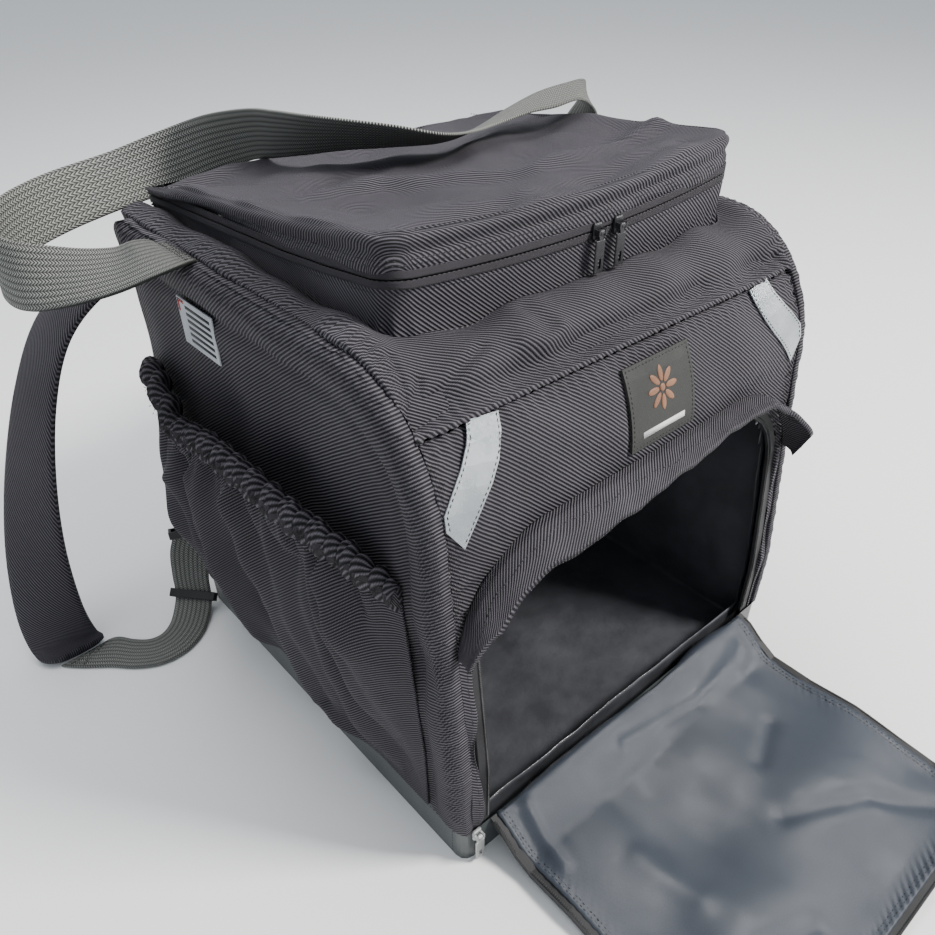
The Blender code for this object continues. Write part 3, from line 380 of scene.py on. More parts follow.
def quilt(across, along, place, weave, slant=0.0, closed=False, capped=False):
    """A padded sheet as a fine grid with a face and a back.

    place(u, v, back) gives a corner, and weave(u, v) its place on the flat cloth,
    both for shares u and v from 0 to 1; slant turns the ribs, in degrees.
    """
    bm = bmesh.new()
    bmesh.ops.create_grid(bm, x_segments=across, y_segments=along, size=0.5)
    grown = bmesh.ops.extrude_face_region(bm, geom=bm.faces[:])
    raised = [item for item in grown["geom"] if isinstance(item, bmesh.types.BMVert)]
    bmesh.ops.translate(bm, verts=raised, vec=(0, 0, 1))
    if closed:
        ends = [face for face in bm.faces if all(v.co.x < -0.4999 for v in face.verts)
                or all(v.co.x > 0.4999 for v in face.verts)]
        bmesh.ops.delete(bm, geom=ends, context="FACES")
    if capped:
        rim = [face for face in bm.faces if all(v.co.y > 0.4999 for v in face.verts)]
        bmesh.ops.delete(bm, geom=rim, context="FACES")
    turn = math.radians(slant)
    layer = bm.verts.layers.float_vector.new("weave")
    flat = bm.verts.layers.float_vector.new("flat")
    for vert in bm.verts:
        u, v = vert.co.x + 0.5, vert.co.y + 0.5
        a, b = weave(u, v)
        vert[layer] = (a * math.cos(turn) + b * math.sin(turn), b * math.cos(turn) - a * math.sin(turn), 0.0)
        vert[flat] = (a, b, round(vert.co.z))
        vert.co = place(u, v, 1 - round(vert.co.z))
    if closed:
        bmesh.ops.remove_doubles(bm, verts=bm.verts, dist=1e-7)
    if capped:
        bmesh.ops.edgeloop_fill(bm, edges=[edge for edge in bm.edges if edge.is_boundary])
    bmesh.ops.recalc_face_normals(bm, faces=bm.faces)
    return bm


def near(spots, line):
    """Distance from an array of flat places to a line of points."""
    line = np.asarray(line, dtype=float)
    if len(line) == 1:
        return np.linalg.norm(spots - line[0], axis=1)
    best = np.full(len(spots), 9.0)
    for start, stop in zip(line, line[1:]):
        run = stop - start
        share = np.clip((spots - start) @ run / (run @ run), 0.0, 1.0)
        best = np.minimum(best, np.linalg.norm(spots - start - share[:, None] * run, axis=1))
    return best


def crease(spots, rows):
    """Height of soft folds; each row is (height, width, points along the fold)."""
    total = np.zeros(len(spots))
    for lift, width, line in rows:
        total += lift * np.exp(-(near(spots, line) / width) ** 2)
    return total


def read_flat(mesh):
    """A quilted mesh's places on its flat cloth, and 1 for its face or 0 for its back, as an array."""
    flat = np.zeros(len(mesh.vertices) * 3)
    mesh.attributes["flat"].data.foreach_get("vector", flat)
    return flat.reshape(-1, 3)


def relief(piece, shape):
    """Raises a quilted piece's face along its normals; shape takes the flat places."""
    places, normals = read_places(piece.data)
    flat = read_flat(piece.data)
    set_places(piece.data, places + normals * (shape(flat[:, :2]) * flat[:, 2])[:, None])


def press(piece, run, reach=0.02):
    """Lays a run of (place, way out) on the real surface of a piece."""
    bm = bmesh.new()
    bm.from_mesh(piece.data)
    tree = BVHTree.FromBMesh(bm)
    bm.free()
    laid = []
    for spot, out in run:
        hit, _, _, _ = tree.ray_cast(spot + out * reach, -out, reach * 2)
        laid.append((hit or spot, out))
    return laid


def front_at(rise, inset=0.0):
    """Point (y, z) and normal of the outline at a length up the front and over the top."""
    if rise <= SHOULDER_Z:
        return float(front_line(rise, 0.0)) + inset, rise, Vector((0, -1, 0))
    if rise <= TOP_RISE:
        angle = (rise - SHOULDER_Z) / SHOULDER_LENGTH * math.pi / 2
        run = SHOULDER_RUN - inset
        lift = SHOULDER_RISE - inset
        normal = Vector((0, -math.cos(angle) / SHOULDER_RUN, math.sin(angle) / SHOULDER_RISE))
        return SHOULDER_Y - run * math.cos(angle), SHOULDER_Z + lift * math.sin(angle), normal.normalized()
    return SHOULDER_Y + rise - TOP_RISE, BODY_HEIGHT - inset, Vector((0, 0, 1))


def on_front(x, rise, proud):
    """A point at a height above (or, if negative, below) the front and top surface."""
    y, z, normal = front_at(rise)
    return Vector((x, y, z)) + normal * proud


def rise_of(y):
    """The length up the outline at which the shoulder or the top is y deep."""
    if y >= SHOULDER_Y:
        return TOP_RISE + y - SHOULDER_Y
    return SHOULDER_Z + SHOULDER_LENGTH * math.acos((SHOULDER_Y - y) / SHOULDER_RUN) / (math.pi / 2)


def arch(step, margin, foot=PANEL_FOOT):
    """Point (x, rise) of the mouth's outline from left foot to right foot, grown by a margin."""
    half = MOUTH_WIDTH / 2
    centre_x = half - MOUTH_RADIUS
    side = -1 if step < HALF_STEPS else 1
    walk = min(step, MOUTH_STEPS - step)
    if walk < JAMB_STEPS:
        return side * (half + margin), foot + (SPRING_RISE - foot) * walk / JAMB_STEPS
    if walk < JAMB_STEPS + CORNER_STEPS:
        angle = (walk - JAMB_STEPS) / CORNER_STEPS * math.pi / 2
        radius = MOUTH_RADIUS + margin
        return side * (centre_x + math.cos(angle) * radius), SPRING_RISE + math.sin(angle) * radius
    return side * centre_x * (HALF_STEPS - walk) / CROWN_STEPS, MOUTH_TOP + margin


def frame_edge(step):
    """Outer corner (x, rise) of the front panel beside a step of the mouth's outline."""
    side = -1 if step < HALF_STEPS else 1
    walk = min(step, MOUTH_STEPS - step)
    turn = JAMB_STEPS + CORNER_STEPS // 2
    top = CREASE_RISE - GAP / 2
    if walk <= JAMB_STEPS:
        return side * PANEL_END, PANEL_FOOT + (SPRING_RISE - PANEL_FOOT) * walk / JAMB_STEPS
    if walk <= turn:
        return side * PANEL_END, SPRING_RISE + (top - SPRING_RISE) * (walk - JAMB_STEPS) / (turn - JAMB_STEPS)
    return side * PANEL_END * (HALF_STEPS - walk) / (HALF_STEPS - turn), top


def side_spot(u, v):
    """Point (y, z) of a side panel, from its front edge to its back and from its foot to its top."""
    y_front, z, _ = front_at(PANEL_FOOT + (TOP_RISE - PANEL_FOOT) * v)
    over = max(z - BODY_HEIGHT + BACK_CORNER, 0.0)
    y_back = HALF_DEPTH - BACK_CORNER + math.sqrt(max(BACK_CORNER ** 2 - over ** 2, 0.0))
    return y_front + (y_back - y_front) * u, z


roll_edge = np.array([front_at(rise)[:2] for rise in np.linspace(PANEL_FOOT, TOP_RISE, 240)]
                     + [(y, BODY_HEIGHT) for y in np.linspace(SHOULDER_Y, HALF_DEPTH - BACK_CORNER, 80)])
for side, label in ((-1, "left"), (1, "right")):
    def place(u, v, back):
        y, z = side_spot(u, v)
        return Vector((side * (HALF_WIDTH - SIDE_WALL * back), y, z))

    panel = add_piece(f"padded_side_{label}", quilt(130, 130, place, side_spot, SIDE_SLANT), twill, "twill",
                      f"side_panel_{label}")
    places, _ = read_places(panel.data)
    outer = np.abs(places[:, 0]) > HALF_WIDTH - SIDE_WALL / 2
    spots = places[:, 1:]
    inset = np.min(np.linalg.norm(spots[:, None, :] - roll_edge[None, :, :], axis=2), axis=1)
    weight = smooth((spots[:, 1] - PANEL_FOOT) / ROLL_WIDTH)
    weight = weight * smooth((HALF_DEPTH - spots[:, 0] - 0.004) / 0.02)
    roll = np.sin(math.pi * np.clip(inset / ROLL_WIDTH, 0, 1) ** 0.62)
    puff = ROLL_PUFF * roll * weight - EDGE_TURN * np.exp(-(inset / 0.003) ** 2)
    puff -= 0.0032 * np.exp(-((inset - ROLL_WIDTH - 0.003) / 0.006) ** 2) * weight
    puff -= 0.0024 * smooth((inset - ROLL_WIDTH) / 0.03) * smooth((0.46 - inset) / 0.1)
    puff += waves(spots, 11, 0.09, 0.0020) * smooth(inset / 0.02)
    gather = np.sin(2 * math.pi * (spots[:, 0] + spots[:, 1]) / 0.0085 + waves(spots, 12, 0.05, 2.0))
    puff += 0.0011 * gather * np.exp(-((inset - 0.006) / 0.008) ** 2) * weight
    places[:, 0] += side * puff * outer
    set_places(panel.data, places)


def front_place(u, v, back):
    """Point of the front panel, from the mouth out to its edges."""
    x, rise = front_weave(u, v)
    return on_front(x, rise, -WALL * back)


def front_weave(u, v):
    """Place (x, rise) on the front panel."""
    x, rise = arch(u * MOUTH_STEPS, 0.0)
    edge_x, edge_rise = frame_edge(u * MOUTH_STEPS)
    return x + (edge_x - x) * v, rise + (edge_rise - rise) * v


# Folds of the front by (x, rise): puckers at the low left of the side seam.
FRONT_FOLDS = (
    (0.0020, 0.0035, ((-0.190, 0.232), (-0.172, 0.236))),
    (0.0018, 0.0030, ((-0.190, 0.246), (-0.168, 0.252))),
    (0.0020, 0.0035, ((-0.190, 0.262), (-0.166, 0.270))),
    (0.0016, 0.0030, ((-0.190, 0.279), (-0.170, 0.285))),
    (-0.0016, 0.0060, ((-0.150, 0.300), (-0.150, 0.350))),
    (0.0018, 0.0110, ((-0.120, 0.375), (-0.060, 0.330), (-0.010, 0.322))),
)


# The left strip's middle line as (share of the half width, share from the shoulder's foot to the
# crease), and the badge; the panel lies flat under them.
STRIP_SHARES = ((-0.715, 1.00), (-0.735, 0.80), (-0.800, 0.60), (-0.880, 0.40), (-0.940, 0.22))
STRIP_LINE = [(HALF_WIDTH * a, SHOULDER_Z + (CREASE_RISE - SHOULDER_Z) * b) for a, b in STRIP_SHARES]
TRIM_WIDTH = 0.025
PATCH_WIDTH = 0.070
PATCH_HEIGHT = 0.056
PATCH_X = BODY_WIDTH * 0.025
PATCH_RISE = CREASE_RISE - 0.042


def front_relief(spots):
    """Height of the front's padding: sunk seams, tucks, slack and folds."""
    under = CREASE_RISE - spots[:, 1]
    seam = -0.0030 * np.exp(-(under / 0.004) ** 2)
    tucks = 0.0010 * np.sin(2 * math.pi * spots[:, 0] / 0.0095 + waves(spots, 21, 0.06, 2.0))
    tucks *= np.exp(-((under - 0.006) / 0.009) ** 2)
    edge = (PANEL_END - np.abs(spots[:, 0]))
    seam -= 0.0018 * np.exp(-(edge / 0.004) ** 2)
    ruck = 0.0011 * np.sin(2 * math.pi * spots[:, 1] / 0.0090) * np.exp(-((edge - 0.006) / 0.009) ** 2)
    ruck *= smooth((spots[:, 1] - 0.20) / 0.03)
    strip = smooth((near(np.abs(spots) * (-1, 1), STRIP_LINE) - TRIM_WIDTH * 0.56) / 0.006)
    patch = smooth((np.maximum(np.abs(spots[:, 0] - PATCH_X) - PATCH_WIDTH / 2,
                               np.abs(spots[:, 1] - PATCH_RISE) - PATCH_HEIGHT / 2)) / 0.006)
    slack = waves(spots, 22, 0.075, 0.0019) * smooth(under / 0.01)
    total = seam + tucks + ruck + slack + crease(spots, FRONT_FOLDS)
    return np.where(total > 0, total * strip * patch, total)


front = add_piece("padded_front", quilt(330, 48, front_place, front_weave, PANEL_SLANT), twill, "twill",
                  "front_panel")
relief(front, front_relief)

TOP_WIDTH = 0.332
TOP_FRONT = 0.098
TOP_CORNER = 0.018
TOP_BOW = 0.008
TOP_ROLL_PUFF = 0.006
TOP_HALF = TOP_WIDTH / 2
TOP_FACE = -HALF_DEPTH + TOP_FRONT
PLAN_SIDES = (7, 4, 8, 4, 7, 4)
PLAN_LENGTH = sum(PLAN_SIDES)


def plan_at(step, margin):
    """Point (x, y) of the top compartment's plan at a step from the back left forwards."""
    half, front, radius = TOP_HALF + margin, TOP_FACE - margin, TOP_CORNER + margin
    corners = ((-half, HALF_DEPTH), (-half, front + radius), (-half + radius, front), (half - radius, front),
               (half, front + radius), (half, HALF_DEPTH), (-half, HALF_DEPTH))
    run = 0
    while step > PLAN_SIDES[run] and run < 5:
        step -= PLAN_SIDES[run]
        run += 1
    mix = step / PLAN_SIDES[run]
    if run in (1, 3):
        angle = math.radians((180 if run == 1 else 270) + 90 * mix)
        centre = -half + radius if run == 1 else half - radius
        x, y = centre + radius * math.cos(angle), front + radius + radius * math.sin(angle)
    else:
        x, y = (Vector(corners[run]).lerp(Vector(corners[run + 1]), mix))
    forward = float(smooth((HALF_DEPTH - y) / (HALF_DEPTH - front) * 2 - 1))
    return x, y - TOP_BOW * forward * (1 - (x / half) ** 2)


def yoke_spot(u, v):
    """Point (x, rise) of the yoke, from the compartment's foot out to the crease and the sides."""
    step = u * 30
    walk = min(step, 30 - step)
    side = 1 if step <= 15 else -1
    inner_x, inner_y = plan_at(walk, GAP)
    if walk <= 7:
        outer_x, outer_rise = -PANEL_END, rise_of(inner_y)
    elif walk <= 9:
        start = rise_of(plan_at(7, GAP)[1])
        outer_x, outer_rise = -PANEL_END, start + (CREASE_RISE - start) * (walk - 7) / 2
    elif walk <= 11:
        outer_x = -PANEL_END + (PANEL_END + plan_at(11, GAP)[0]) * (walk - 9) / 2
        outer_rise = CREASE_RISE
    else:
        outer_x, outer_rise = inner_x, CREASE_RISE
    inner_rise = rise_of(inner_y)
    seam = GAP / 2 if outer_rise == CREASE_RISE else 0.0
    return side * (inner_x + (outer_x - inner_x) * v), inner_rise + (outer_rise + seam - inner_rise) * v


def yoke_place(u, v, back):
    """Point of the yoke, puffed between the compartment and its seams."""
    x, rise = yoke_spot(u, v)
    y, z, normal = front_at(rise)
    up = smooth((rise - CREASE_RISE) / (TOP_RISE - CREASE_RISE))
    bulge = TOP_ROLL_PUFF * math.sin(math.pi * v) * (0.35 + 0.65 * up)
    down = Vector((0, 0, 1)).lerp(normal, v).normalized()
    return Vector((x, y, z)) + normal * bulge - down * WALL * back


# Folds of the yoke by (x, rise): rays from the pinch at the left end of the crease, a dent and a bump.
YOKE_FOLDS = (
    (0.0026, 0.0030, ((-0.186, 0.388), (-0.164, 0.396))),
    (0.0030, 0.0034, ((-0.184, 0.389), (-0.1686, 0.412))),
    (0.0026, 0.0034, ((-0.180, 0.390), (-0.141, 0.408), (-0.120, 0.415))),
    (0.0022, 0.0036, ((-0.186, 0.392), (-0.176, 0.4335))),
    (-0.0034, 0.0060, ((-0.092, 0.4075), (-0.0745, 0.4007), (-0.057, 0.406))),
    (0.0034, 0.0080, ((-0.072, 0.428), (-0.0656, 0.410))),
    (-0.0026, 0.0080, ((0.100, 0.392), (0.150, 0.390))),
)


def yoke_relief(spots):
    """Height of the yoke's padding: a roll over the sunk crease, tucks and folds."""
    over = spots[:, 1] - CREASE_RISE
    front_part = smooth((0.200 - np.abs(spots[:, 0])) / 0.02)
    roll = 0.0070 * np.exp(-((over - 0.012) / 0.009) ** 2) * front_part
    seam = -0.0036 * np.exp(-(over / 0.003) ** 2) * front_part
    tucks = 0.0010 * np.sin(2 * math.pi * spots[:, 0] / 0.0085 + waves(spots, 31, 0.06, 2.2))
    tucks *= np.exp(-((over - 0.005) / 0.008) ** 2)
    edge = PANEL_END - np.abs(spots[:, 0])
    ruck = 0.0014 * np.sin(2 * math.pi * spots[:, 1] / 0.0090 + waves(spots, 32, 0.06, 1.5))
    ruck = ruck * np.exp(-((edge - 0.006) / 0.008) ** 2) - 0.0020 * np.exp(-(edge / 0.004) ** 2)
    slack = waves(spots, 33, 0.070, 0.0024) * smooth(over / 0.012)
    return roll + seam + tucks + ruck + slack + crease(spots, YOKE_FOLDS)


yoke = add_piece("padded_yoke", quilt(330, 48, yoke_place, yoke_spot, PANEL_SLANT), twill, "twill",
                 "top_panel")
relief(yoke, yoke_relief)


def back_place(u, v, back):
    """Point of the back panel."""
    return Vector((PANEL_END * (1 - 2 * u), HALF_DEPTH - WALL * back,
                   PANEL_FOOT + (BODY_HEIGHT - WALL - GAP - PANEL_FOOT) * v))


back = add_piece("padded_back",
                 quilt(80, 80, back_place, lambda u, v: (u * 0.38, v * 0.37), PANEL_SLANT),
                 twill, "twill", "back_panel")
relief(back, lambda spots: waves(spots, 35, 0.11, 0.0015) - 0.002 * np.exp(-(spots[:, 1] / 0.006) ** 2))

# ---- Top compartment: a low padded wall, a closed zip set back in the seam, and a soft lid.
# The lid is foam and twill with a rolled front edge, and its top sags under
# its own weight.
TOP_WALL_RISE = 0.035
LID_RISE = 0.028
LID_THICK = 0.006
LID_SAG = 0.009
LID_DROOP = 0.006
ZIP_SAG = 0.007
TOP_ZIP_HEIGHT = 0.006
WALL_SLOPE = ((0.0, 0.2, 0.35, 0.6, 0.9, 1.0), (1.0, 0.76, 0.62, 0.48, 0.32, 0.24))
LID_SLOPE = ((0.0, 0.1, 0.4, 0.6, 0.8, 0.92, 1.0), (1.0, 1.05, 1.02, 0.90, 0.68, 0.40, 0.24))


def zip_height(x, y):
    """Height of the middle of the top zip round the compartment."""
    share = (y - TOP_FACE) / (HALF_DEPTH - TOP_FACE)
    sag = ZIP_SAG * (1 - (x / TOP_HALF) ** 2) * float(smooth(1 - share * 4))
    return BODY_HEIGHT + TOP_WALL_RISE * float(np.interp(share, *WALL_SLOPE)) - max(sag, 0.0)


def lid_height(x, y):
    """Height of the lid's upper edge, lower along its left side than its right."""
    share = min(max((y - TOP_FACE) / (HALF_DEPTH - TOP_FACE), 0.0), 1.0)
    droop = LID_DROOP * float(smooth(0.5 - x / TOP_WIDTH)) * math.sin(math.pi * share)
    return zip_height(x, y) + LID_RISE * float(np.interp(share, *LID_SLOPE)) - droop


def inward(x, y, distance):
    """Moves a point of the plan towards the compartment's middle."""
    middle = (TOP_FACE + HALF_DEPTH) / 2
    half = (HALF_DEPTH - TOP_FACE) / 2
    return x * (TOP_HALF - distance) / TOP_HALF, middle + (y - middle) * (half - distance) / half


def wall_place(u, v, back):
    """Point of the compartment's wall, from the panels up to its zip."""
    x, y = plan_at(u * PLAN_LENGTH, 0.0)
    top = zip_height(x, y) - TOP_ZIP_HEIGHT / 2 - GAP
    px, py = inward(x, y, WALL * back)
    return Vector((px, py, BODY_HEIGHT - WALL + (top - BODY_HEIGHT + WALL) * v))


PLAN_STEPS = np.linspace(0.0, PLAN_LENGTH, 341)
PLAN_RUN = np.concatenate(([0.0], np.cumsum(np.linalg.norm(np.diff(
    [plan_at(step, 0.0) for step in PLAN_STEPS], axis=0), axis=1))))


def plan_weave(u, v):
    """Place on the flat cloth of a strip round the compartment."""
    return float(np.interp(u * PLAN_LENGTH, PLAN_STEPS, PLAN_RUN)), v * TOP_WALL_RISE


def wall_relief(spots):
    """Slack wall: a hollow under the zip, puckers at its foot and soft waves."""
    share = spots[:, 1] / TOP_WALL_RISE
    puckers = 0.0012 * np.sin(2 * math.pi * spots[:, 0] / 0.010 + waves(spots, 41, 0.05, 2.0))
    slack = waves(spots, 42, 0.07, 0.0014) * np.sin(math.pi * np.clip(share, 0, 1))
    return puckers * np.exp(-(share / 0.35) ** 2) + slack


wall = add_piece("compartment_side", quilt(300, 16, wall_place, plan_weave, PANEL_SLANT, closed=True),
                 twill, "twill", "compartment_wall")
relief(wall, wall_relief)

# The lid's section from its lower edge up its wall and over to its middle.
LID_ROW = (0.0, 0.12, 0.24, 0.34, 0.44, 0.60, 0.80, 1.00)
LID_INSET = (0.0, -0.0015, 0.001, 0.007, 0.018, 0.045, 0.085, 0.150)
LID_SHARE = (0.0, 0.45, 0.88, 1.00, 0.97, 0.95, 0.94, 0.94)
LID_DIP = (0.0, 0.0, 0.3, 1.0, 1.0, 1.0, 1.0, 1.0)
LID_HOLLOW = (0.0, 0.0, 0.0, 0.0, 0.35, 0.80, 1.00, 1.00)


def lid_place(u, v, back):
    """Point of the lid, from its zip up its side and over to its middle."""
    x, y = plan_at(u * PLAN_LENGTH, 0.0)
    inset, share, dip, hollow = (float(np.interp(v, LID_ROW, column))
                                 for column in (LID_INSET, LID_SHARE, LID_DIP, LID_HOLLOW))
    foot = zip_height(x, y) + TOP_ZIP_HEIGHT / 2 + GAP
    px, py = inward(x, y, max(inset, 0.0))
    if inset > 0.002:
        rise = lid_height(px, py) - LID_SAG * hollow
    else:
        rise = foot + (lid_height(x, y) - foot) * share
    px, py = inward(x, y, inset + LID_THICK * back * (1 - dip) + (LID_THICK * back if dip < 1 else 0) * dip)
    return Vector((px, py, rise - LID_THICK * back * dip))


def lid_weave(u, v):
    """The lid laid flat: its sides folded out round its top."""
    point = lid_place(u, v, 0)
    step = u * PLAN_LENGTH
    (x0, y0), (x1, y1) = plan_at(max(step - 0.1, 0.0), 0.0), plan_at(min(step + 0.1, PLAN_LENGTH), 0.0)
    out = Vector((y1 - y0, x0 - x1)).normalized()
    fall = max(lid_height(*plan_at(step, 0.0)) - point.z, 0.0) * float(1 - smooth((v - 0.26) / 0.08))
    return point.x + out.x * fall, point.y + out.y * fall


# Folds of the lid's top by (x, y): the ridge behind its front roll and dips at the left.
LID_FOLDS = (
    (0.0060, 0.0120, ((-0.121, 0.049), (-0.058, 0.040), (-0.041, 0.0145), (-0.022, -0.0025), (0.019, -0.039),
                      (0.090, -0.042), (0.170, -0.037))),
    (-0.0035, 0.0140, ((-0.096, 0.083), (-0.059, 0.091), (-0.032, 0.085))),
    (-0.0032, 0.0090, ((-0.130, -0.080), (-0.040, -0.090), (0.130, -0.088))),
    (-0.0040, 0.0180, ((-0.110, 0.000), (-0.070, -0.040))),
    (0.0030, 0.0140, ((0.040, 0.060), (0.120, 0.090))),
)


def lid_shape():
    """Sags and rumples the lid: a roll along its front rim, folds on its top and slack all over."""
    places, normals = read_places(lid.data)
    face = read_flat(lid.data)[:, 2]
    spots = places[:, :2]
    on_top = smooth((normals[:, 2] - 0.4) / 0.5)
    lower = np.array([lid_height(x, y) - z for x, y, z in places])
    on_side = (1 - on_top) * smooth((places[:, 2] - BODY_HEIGHT) / 0.01)
    roll = 0.0022 * np.exp(-((lower - 0.005) / 0.004) ** 2) - 0.0026 * np.exp(-((lower - 0.013) / 0.004) ** 2)
    top = crease(spots, LID_FOLDS) + waves(spots, 51, 0.085, 0.0024) + waves(spots, 52, 0.03, 0.0005)
    side = roll + waves(places, 53, 0.06, 0.0013)
    keep = smooth((0.999 - np.maximum(np.abs(spots[:, 0]) / TOP_HALF, 0)) / 0.02)
    set_places(lid.data, places + normals * ((top * on_top * keep + side * on_side) * face)[:, None])


lid = add_piece("padded_lid", quilt(300, 80, lid_place, lid_weave, PANEL_SLANT, closed=True, capped=True),
                twill, "twill", "lid")
lid_shape()

LIP_HEIGHT = 0.0050
LIP_SLIT = 0.0006
zip_tape = coated("Black zip tape", (0.010, 0.010, 0.011), (0.028, 0.028, 0.030), 0.55, 1500.0)
refinish(zip_tape, "top_zip")
for sign, label in ((1, "upper"), (-1, "lower")):
    def lip_place(u, v, back):
        x, y = plan_at(u * PLAN_LENGTH, 0.0008 - 0.0016 * back)
        return Vector((x, y, zip_height(x, y) + sign * (LIP_SLIT + LIP_HEIGHT * v)))

    add_piece(f"zip_lip_{label}", quilt(300, 4, lip_place, plan_weave, PANEL_SLANT, closed=True),
              twill, "twill")


def plan_run(height, margin=0.0, first=0.3, last=29.7):
    """A run round the compartment at a height above its zip, with the ways out."""
    run = []
    for step in np.linspace(first, last, 320):
        (x0, y0), (x1, y1) = plan_at(step - 0.05, margin), plan_at(step + 0.05, margin)
        x, y = plan_at(step, margin)
        run.append((Vector((x, y, zip_height(x, y) + height)), Vector((y1 - y0, x0 - x1, 0)).normalized()))
    return run


sew("lid_stitches", [press(lid, plan_run(0.0085)), press(lid, plan_run(0.0115)),
                     press(wall, plan_run(-0.0085))], black_thread, length=0.0026)

# ---- Mouth: the zip's half that is sewn round the arch, and the rain flap over it.
# The flap is a folded strip of the same twill, sewn along the arch. It sags
# outwards, and its right end hangs loose.
AWNING_MARGIN = 0.0075
AWNING_REACH = 0.027
AWNING_DROP = 0.016
AWNING_THICK = 0.003
AWNING_TIP = 0.007
TRIM_SEAT = 0.0005
AWNING_ALONG = (0.00, 0.10, 0.30, 0.50, 0.70, 0.86, 0.95, 1.00)
AWNING_OUT = (0.40, 0.85, 1.00, 0.92, 0.68, 0.66, 0.95, 0.45)
AWNING_HANG = (0.25, 0.90, 1.00, 0.50, 0.20, 0.20, 0.25, 0.30)
AWNING_FOOT = MOUTH_TOP - 0.062
awning_start = JAMB_STEPS * (AWNING_FOOT - PANEL_FOOT) / (SPRING_RISE - PANEL_FOOT)


def awning_place(u, v, back):
    """Point of the rain flap, from its seam out to its bound edge."""
    bound = 0.0008 * math.exp(-((1 - v) / 0.14) ** 2)
    x, rise = arch(awning_start + (MOUTH_STEPS - 2 * awning_start) * u,
                   AWNING_MARGIN + AWNING_THICK * (1 - back) + bound * (1 - 2 * back))
    swell = float(np.interp(v, (0, 1 / 3, 2 / 3, 1), (0.0, 0.34, 0.74, 1.0)))
    hang = float(np.interp(v, (0, 1 / 3, 2 / 3, 1), (0.0, -0.12, 0.25, 1.0)))
    reach = AWNING_REACH * swell * float(np.interp(u, AWNING_ALONG, AWNING_OUT))
    drop = AWNING_DROP * hang * float(np.interp(u, AWNING_ALONG, AWNING_HANG))
    loose = float(smooth((u - 0.84) / 0.08) * smooth((1 - u) / 0.06))
    ripple = 0.0012 * swell * math.sin(u * 41) + 0.0009 * swell * math.sin(u * 87 + 1.0)
    return on_front(x, rise, TRIM_SEAT) + Vector((AWNING_TIP * loose * swell, -reach, ripple - drop))


awning = add_piece("rain_flap", quilt(200, 16, awning_place, lambda u, v: (u * 0.52, v * 0.035), 47), twill,
                   "twill", "awning")
refinish(zip_tape, "mouth_zip", "door_zip")


def mouth_run(margin, proud, first=0.2):
    """A run round the mouth at a margin outside its outline, with the ways out."""
    run = []
    for step in np.linspace(first, MOUTH_STEPS - first, 260):
        x, rise = arch(step, margin)
        run.append((on_front(x, rise, proud), front_at(rise)[2]))
    return run


COIL = {"length": 0.0012, "gap": 0.0007, "width": 0.0024}
coil = coated("Black nylon coil", (0.012, 0.012, 0.013), (0.050, 0.050, 0.054), 0.35, 900.0)
sew("mouth_coil", [mouth_run(0.0016 - ZIP_BAND, -0.0012)], coil, "zip_tape", **COIL)
sew("mouth_stitches", [press(front, mouth_run(0.0035, 0.0)),
                       press(awning, mouth_run(AWNING_MARGIN + 0.0015, 0.001, awning_start + 0.2))],
    black_thread, length=0.0026)

# ---- Door: the unzipped front, a padded arch of slate-blue nylon that lies on the ground.
# It is hinged on the foot's front edge, and its free edge is bound with the
# other half of the zip.
DOOR_LENGTH = 0.262
DOOR_THICK = 0.006
DOOR_BINDING = 0.007
DOOR_WAVE = 0.006
DOOR_FALL = 0.045
plain, plain_in, plain_out, plain_place = start_weave("Plain weave")
plain_x, plain_y, _ = add_node(plain, "ShaderNodeSeparateXYZ", Vector=plain_place).outputs
plain_turns = (calc(plain, "DIVIDE", way, plain_in["Pitch"]) for way in (plain_x, plain_y))
warp, weft = (calc(plain, "SINE", calc(plain, "MULTIPLY", turn, 2 * math.pi)) for turn in plain_turns)
knots = calc(plain, "MULTIPLY_ADD", calc(plain, "MULTIPLY", warp, weft), 0.5, 0.5)
lint = add_node(plain, "ShaderNodeTexNoise", Vector=plain_place, Scale=900.0, Detail=3.0).outputs["Fac"]
plain_shade = calc(plain, "MULTIPLY", knots, calc(plain, "MULTIPLY_ADD", lint, 1.2, 0.4))
plain_tone = mix_colour(plain, plain_shade, plain_in["Dark"], plain_in["Light"])
plain_tone = mix_colour(plain, clouds(plain, 14.0, 0.0, 0.35, 4.0), plain_tone, plain_in["Dust"])
plain.links.new(plain_tone, plain_out["Color"])
plain.links.new(calc(plain, "MULTIPLY_ADD", clouds(plain, 30.0, 0.0, 1.0, 4.0), 0.18, plain_in["Gloss"]),
                plain_out["Roughness"])
plain.links.new(knots, plain_out["Height"])
door_nylon = woven("Slate nylon", plain, 0.0009, (0.012, 0.015, 0.022), (0.062, 0.074, 0.098),
                   (0.050, 0.058, 0.072), 0.31, 0.00012)
# Folds of the door by (x, length from the hinge).
DOOR_FOLDS = (
    (0.0050, 0.0070, ((-0.158, 0.014), (-0.169, 0.076))),
    (-0.0030, 0.0060, ((-0.140, 0.010), (-0.150, 0.060))),
    (0.0020, 0.0080, ((0.097, 0.088), (0.0525, 0.107))),
    (-0.0030, 0.0120, ((-0.099, 0.096), (-0.090, 0.147))),
    (0.0035, 0.0090, ((0.020, 0.150), (0.090, 0.190), (0.130, 0.235))),
    (0.0030, 0.0080, ((-0.120, 0.190), (-0.040, 0.215))),
    (0.0025, 0.0060, ((-0.030, 0.020), (0.060, 0.034), (0.140, 0.022))),
)


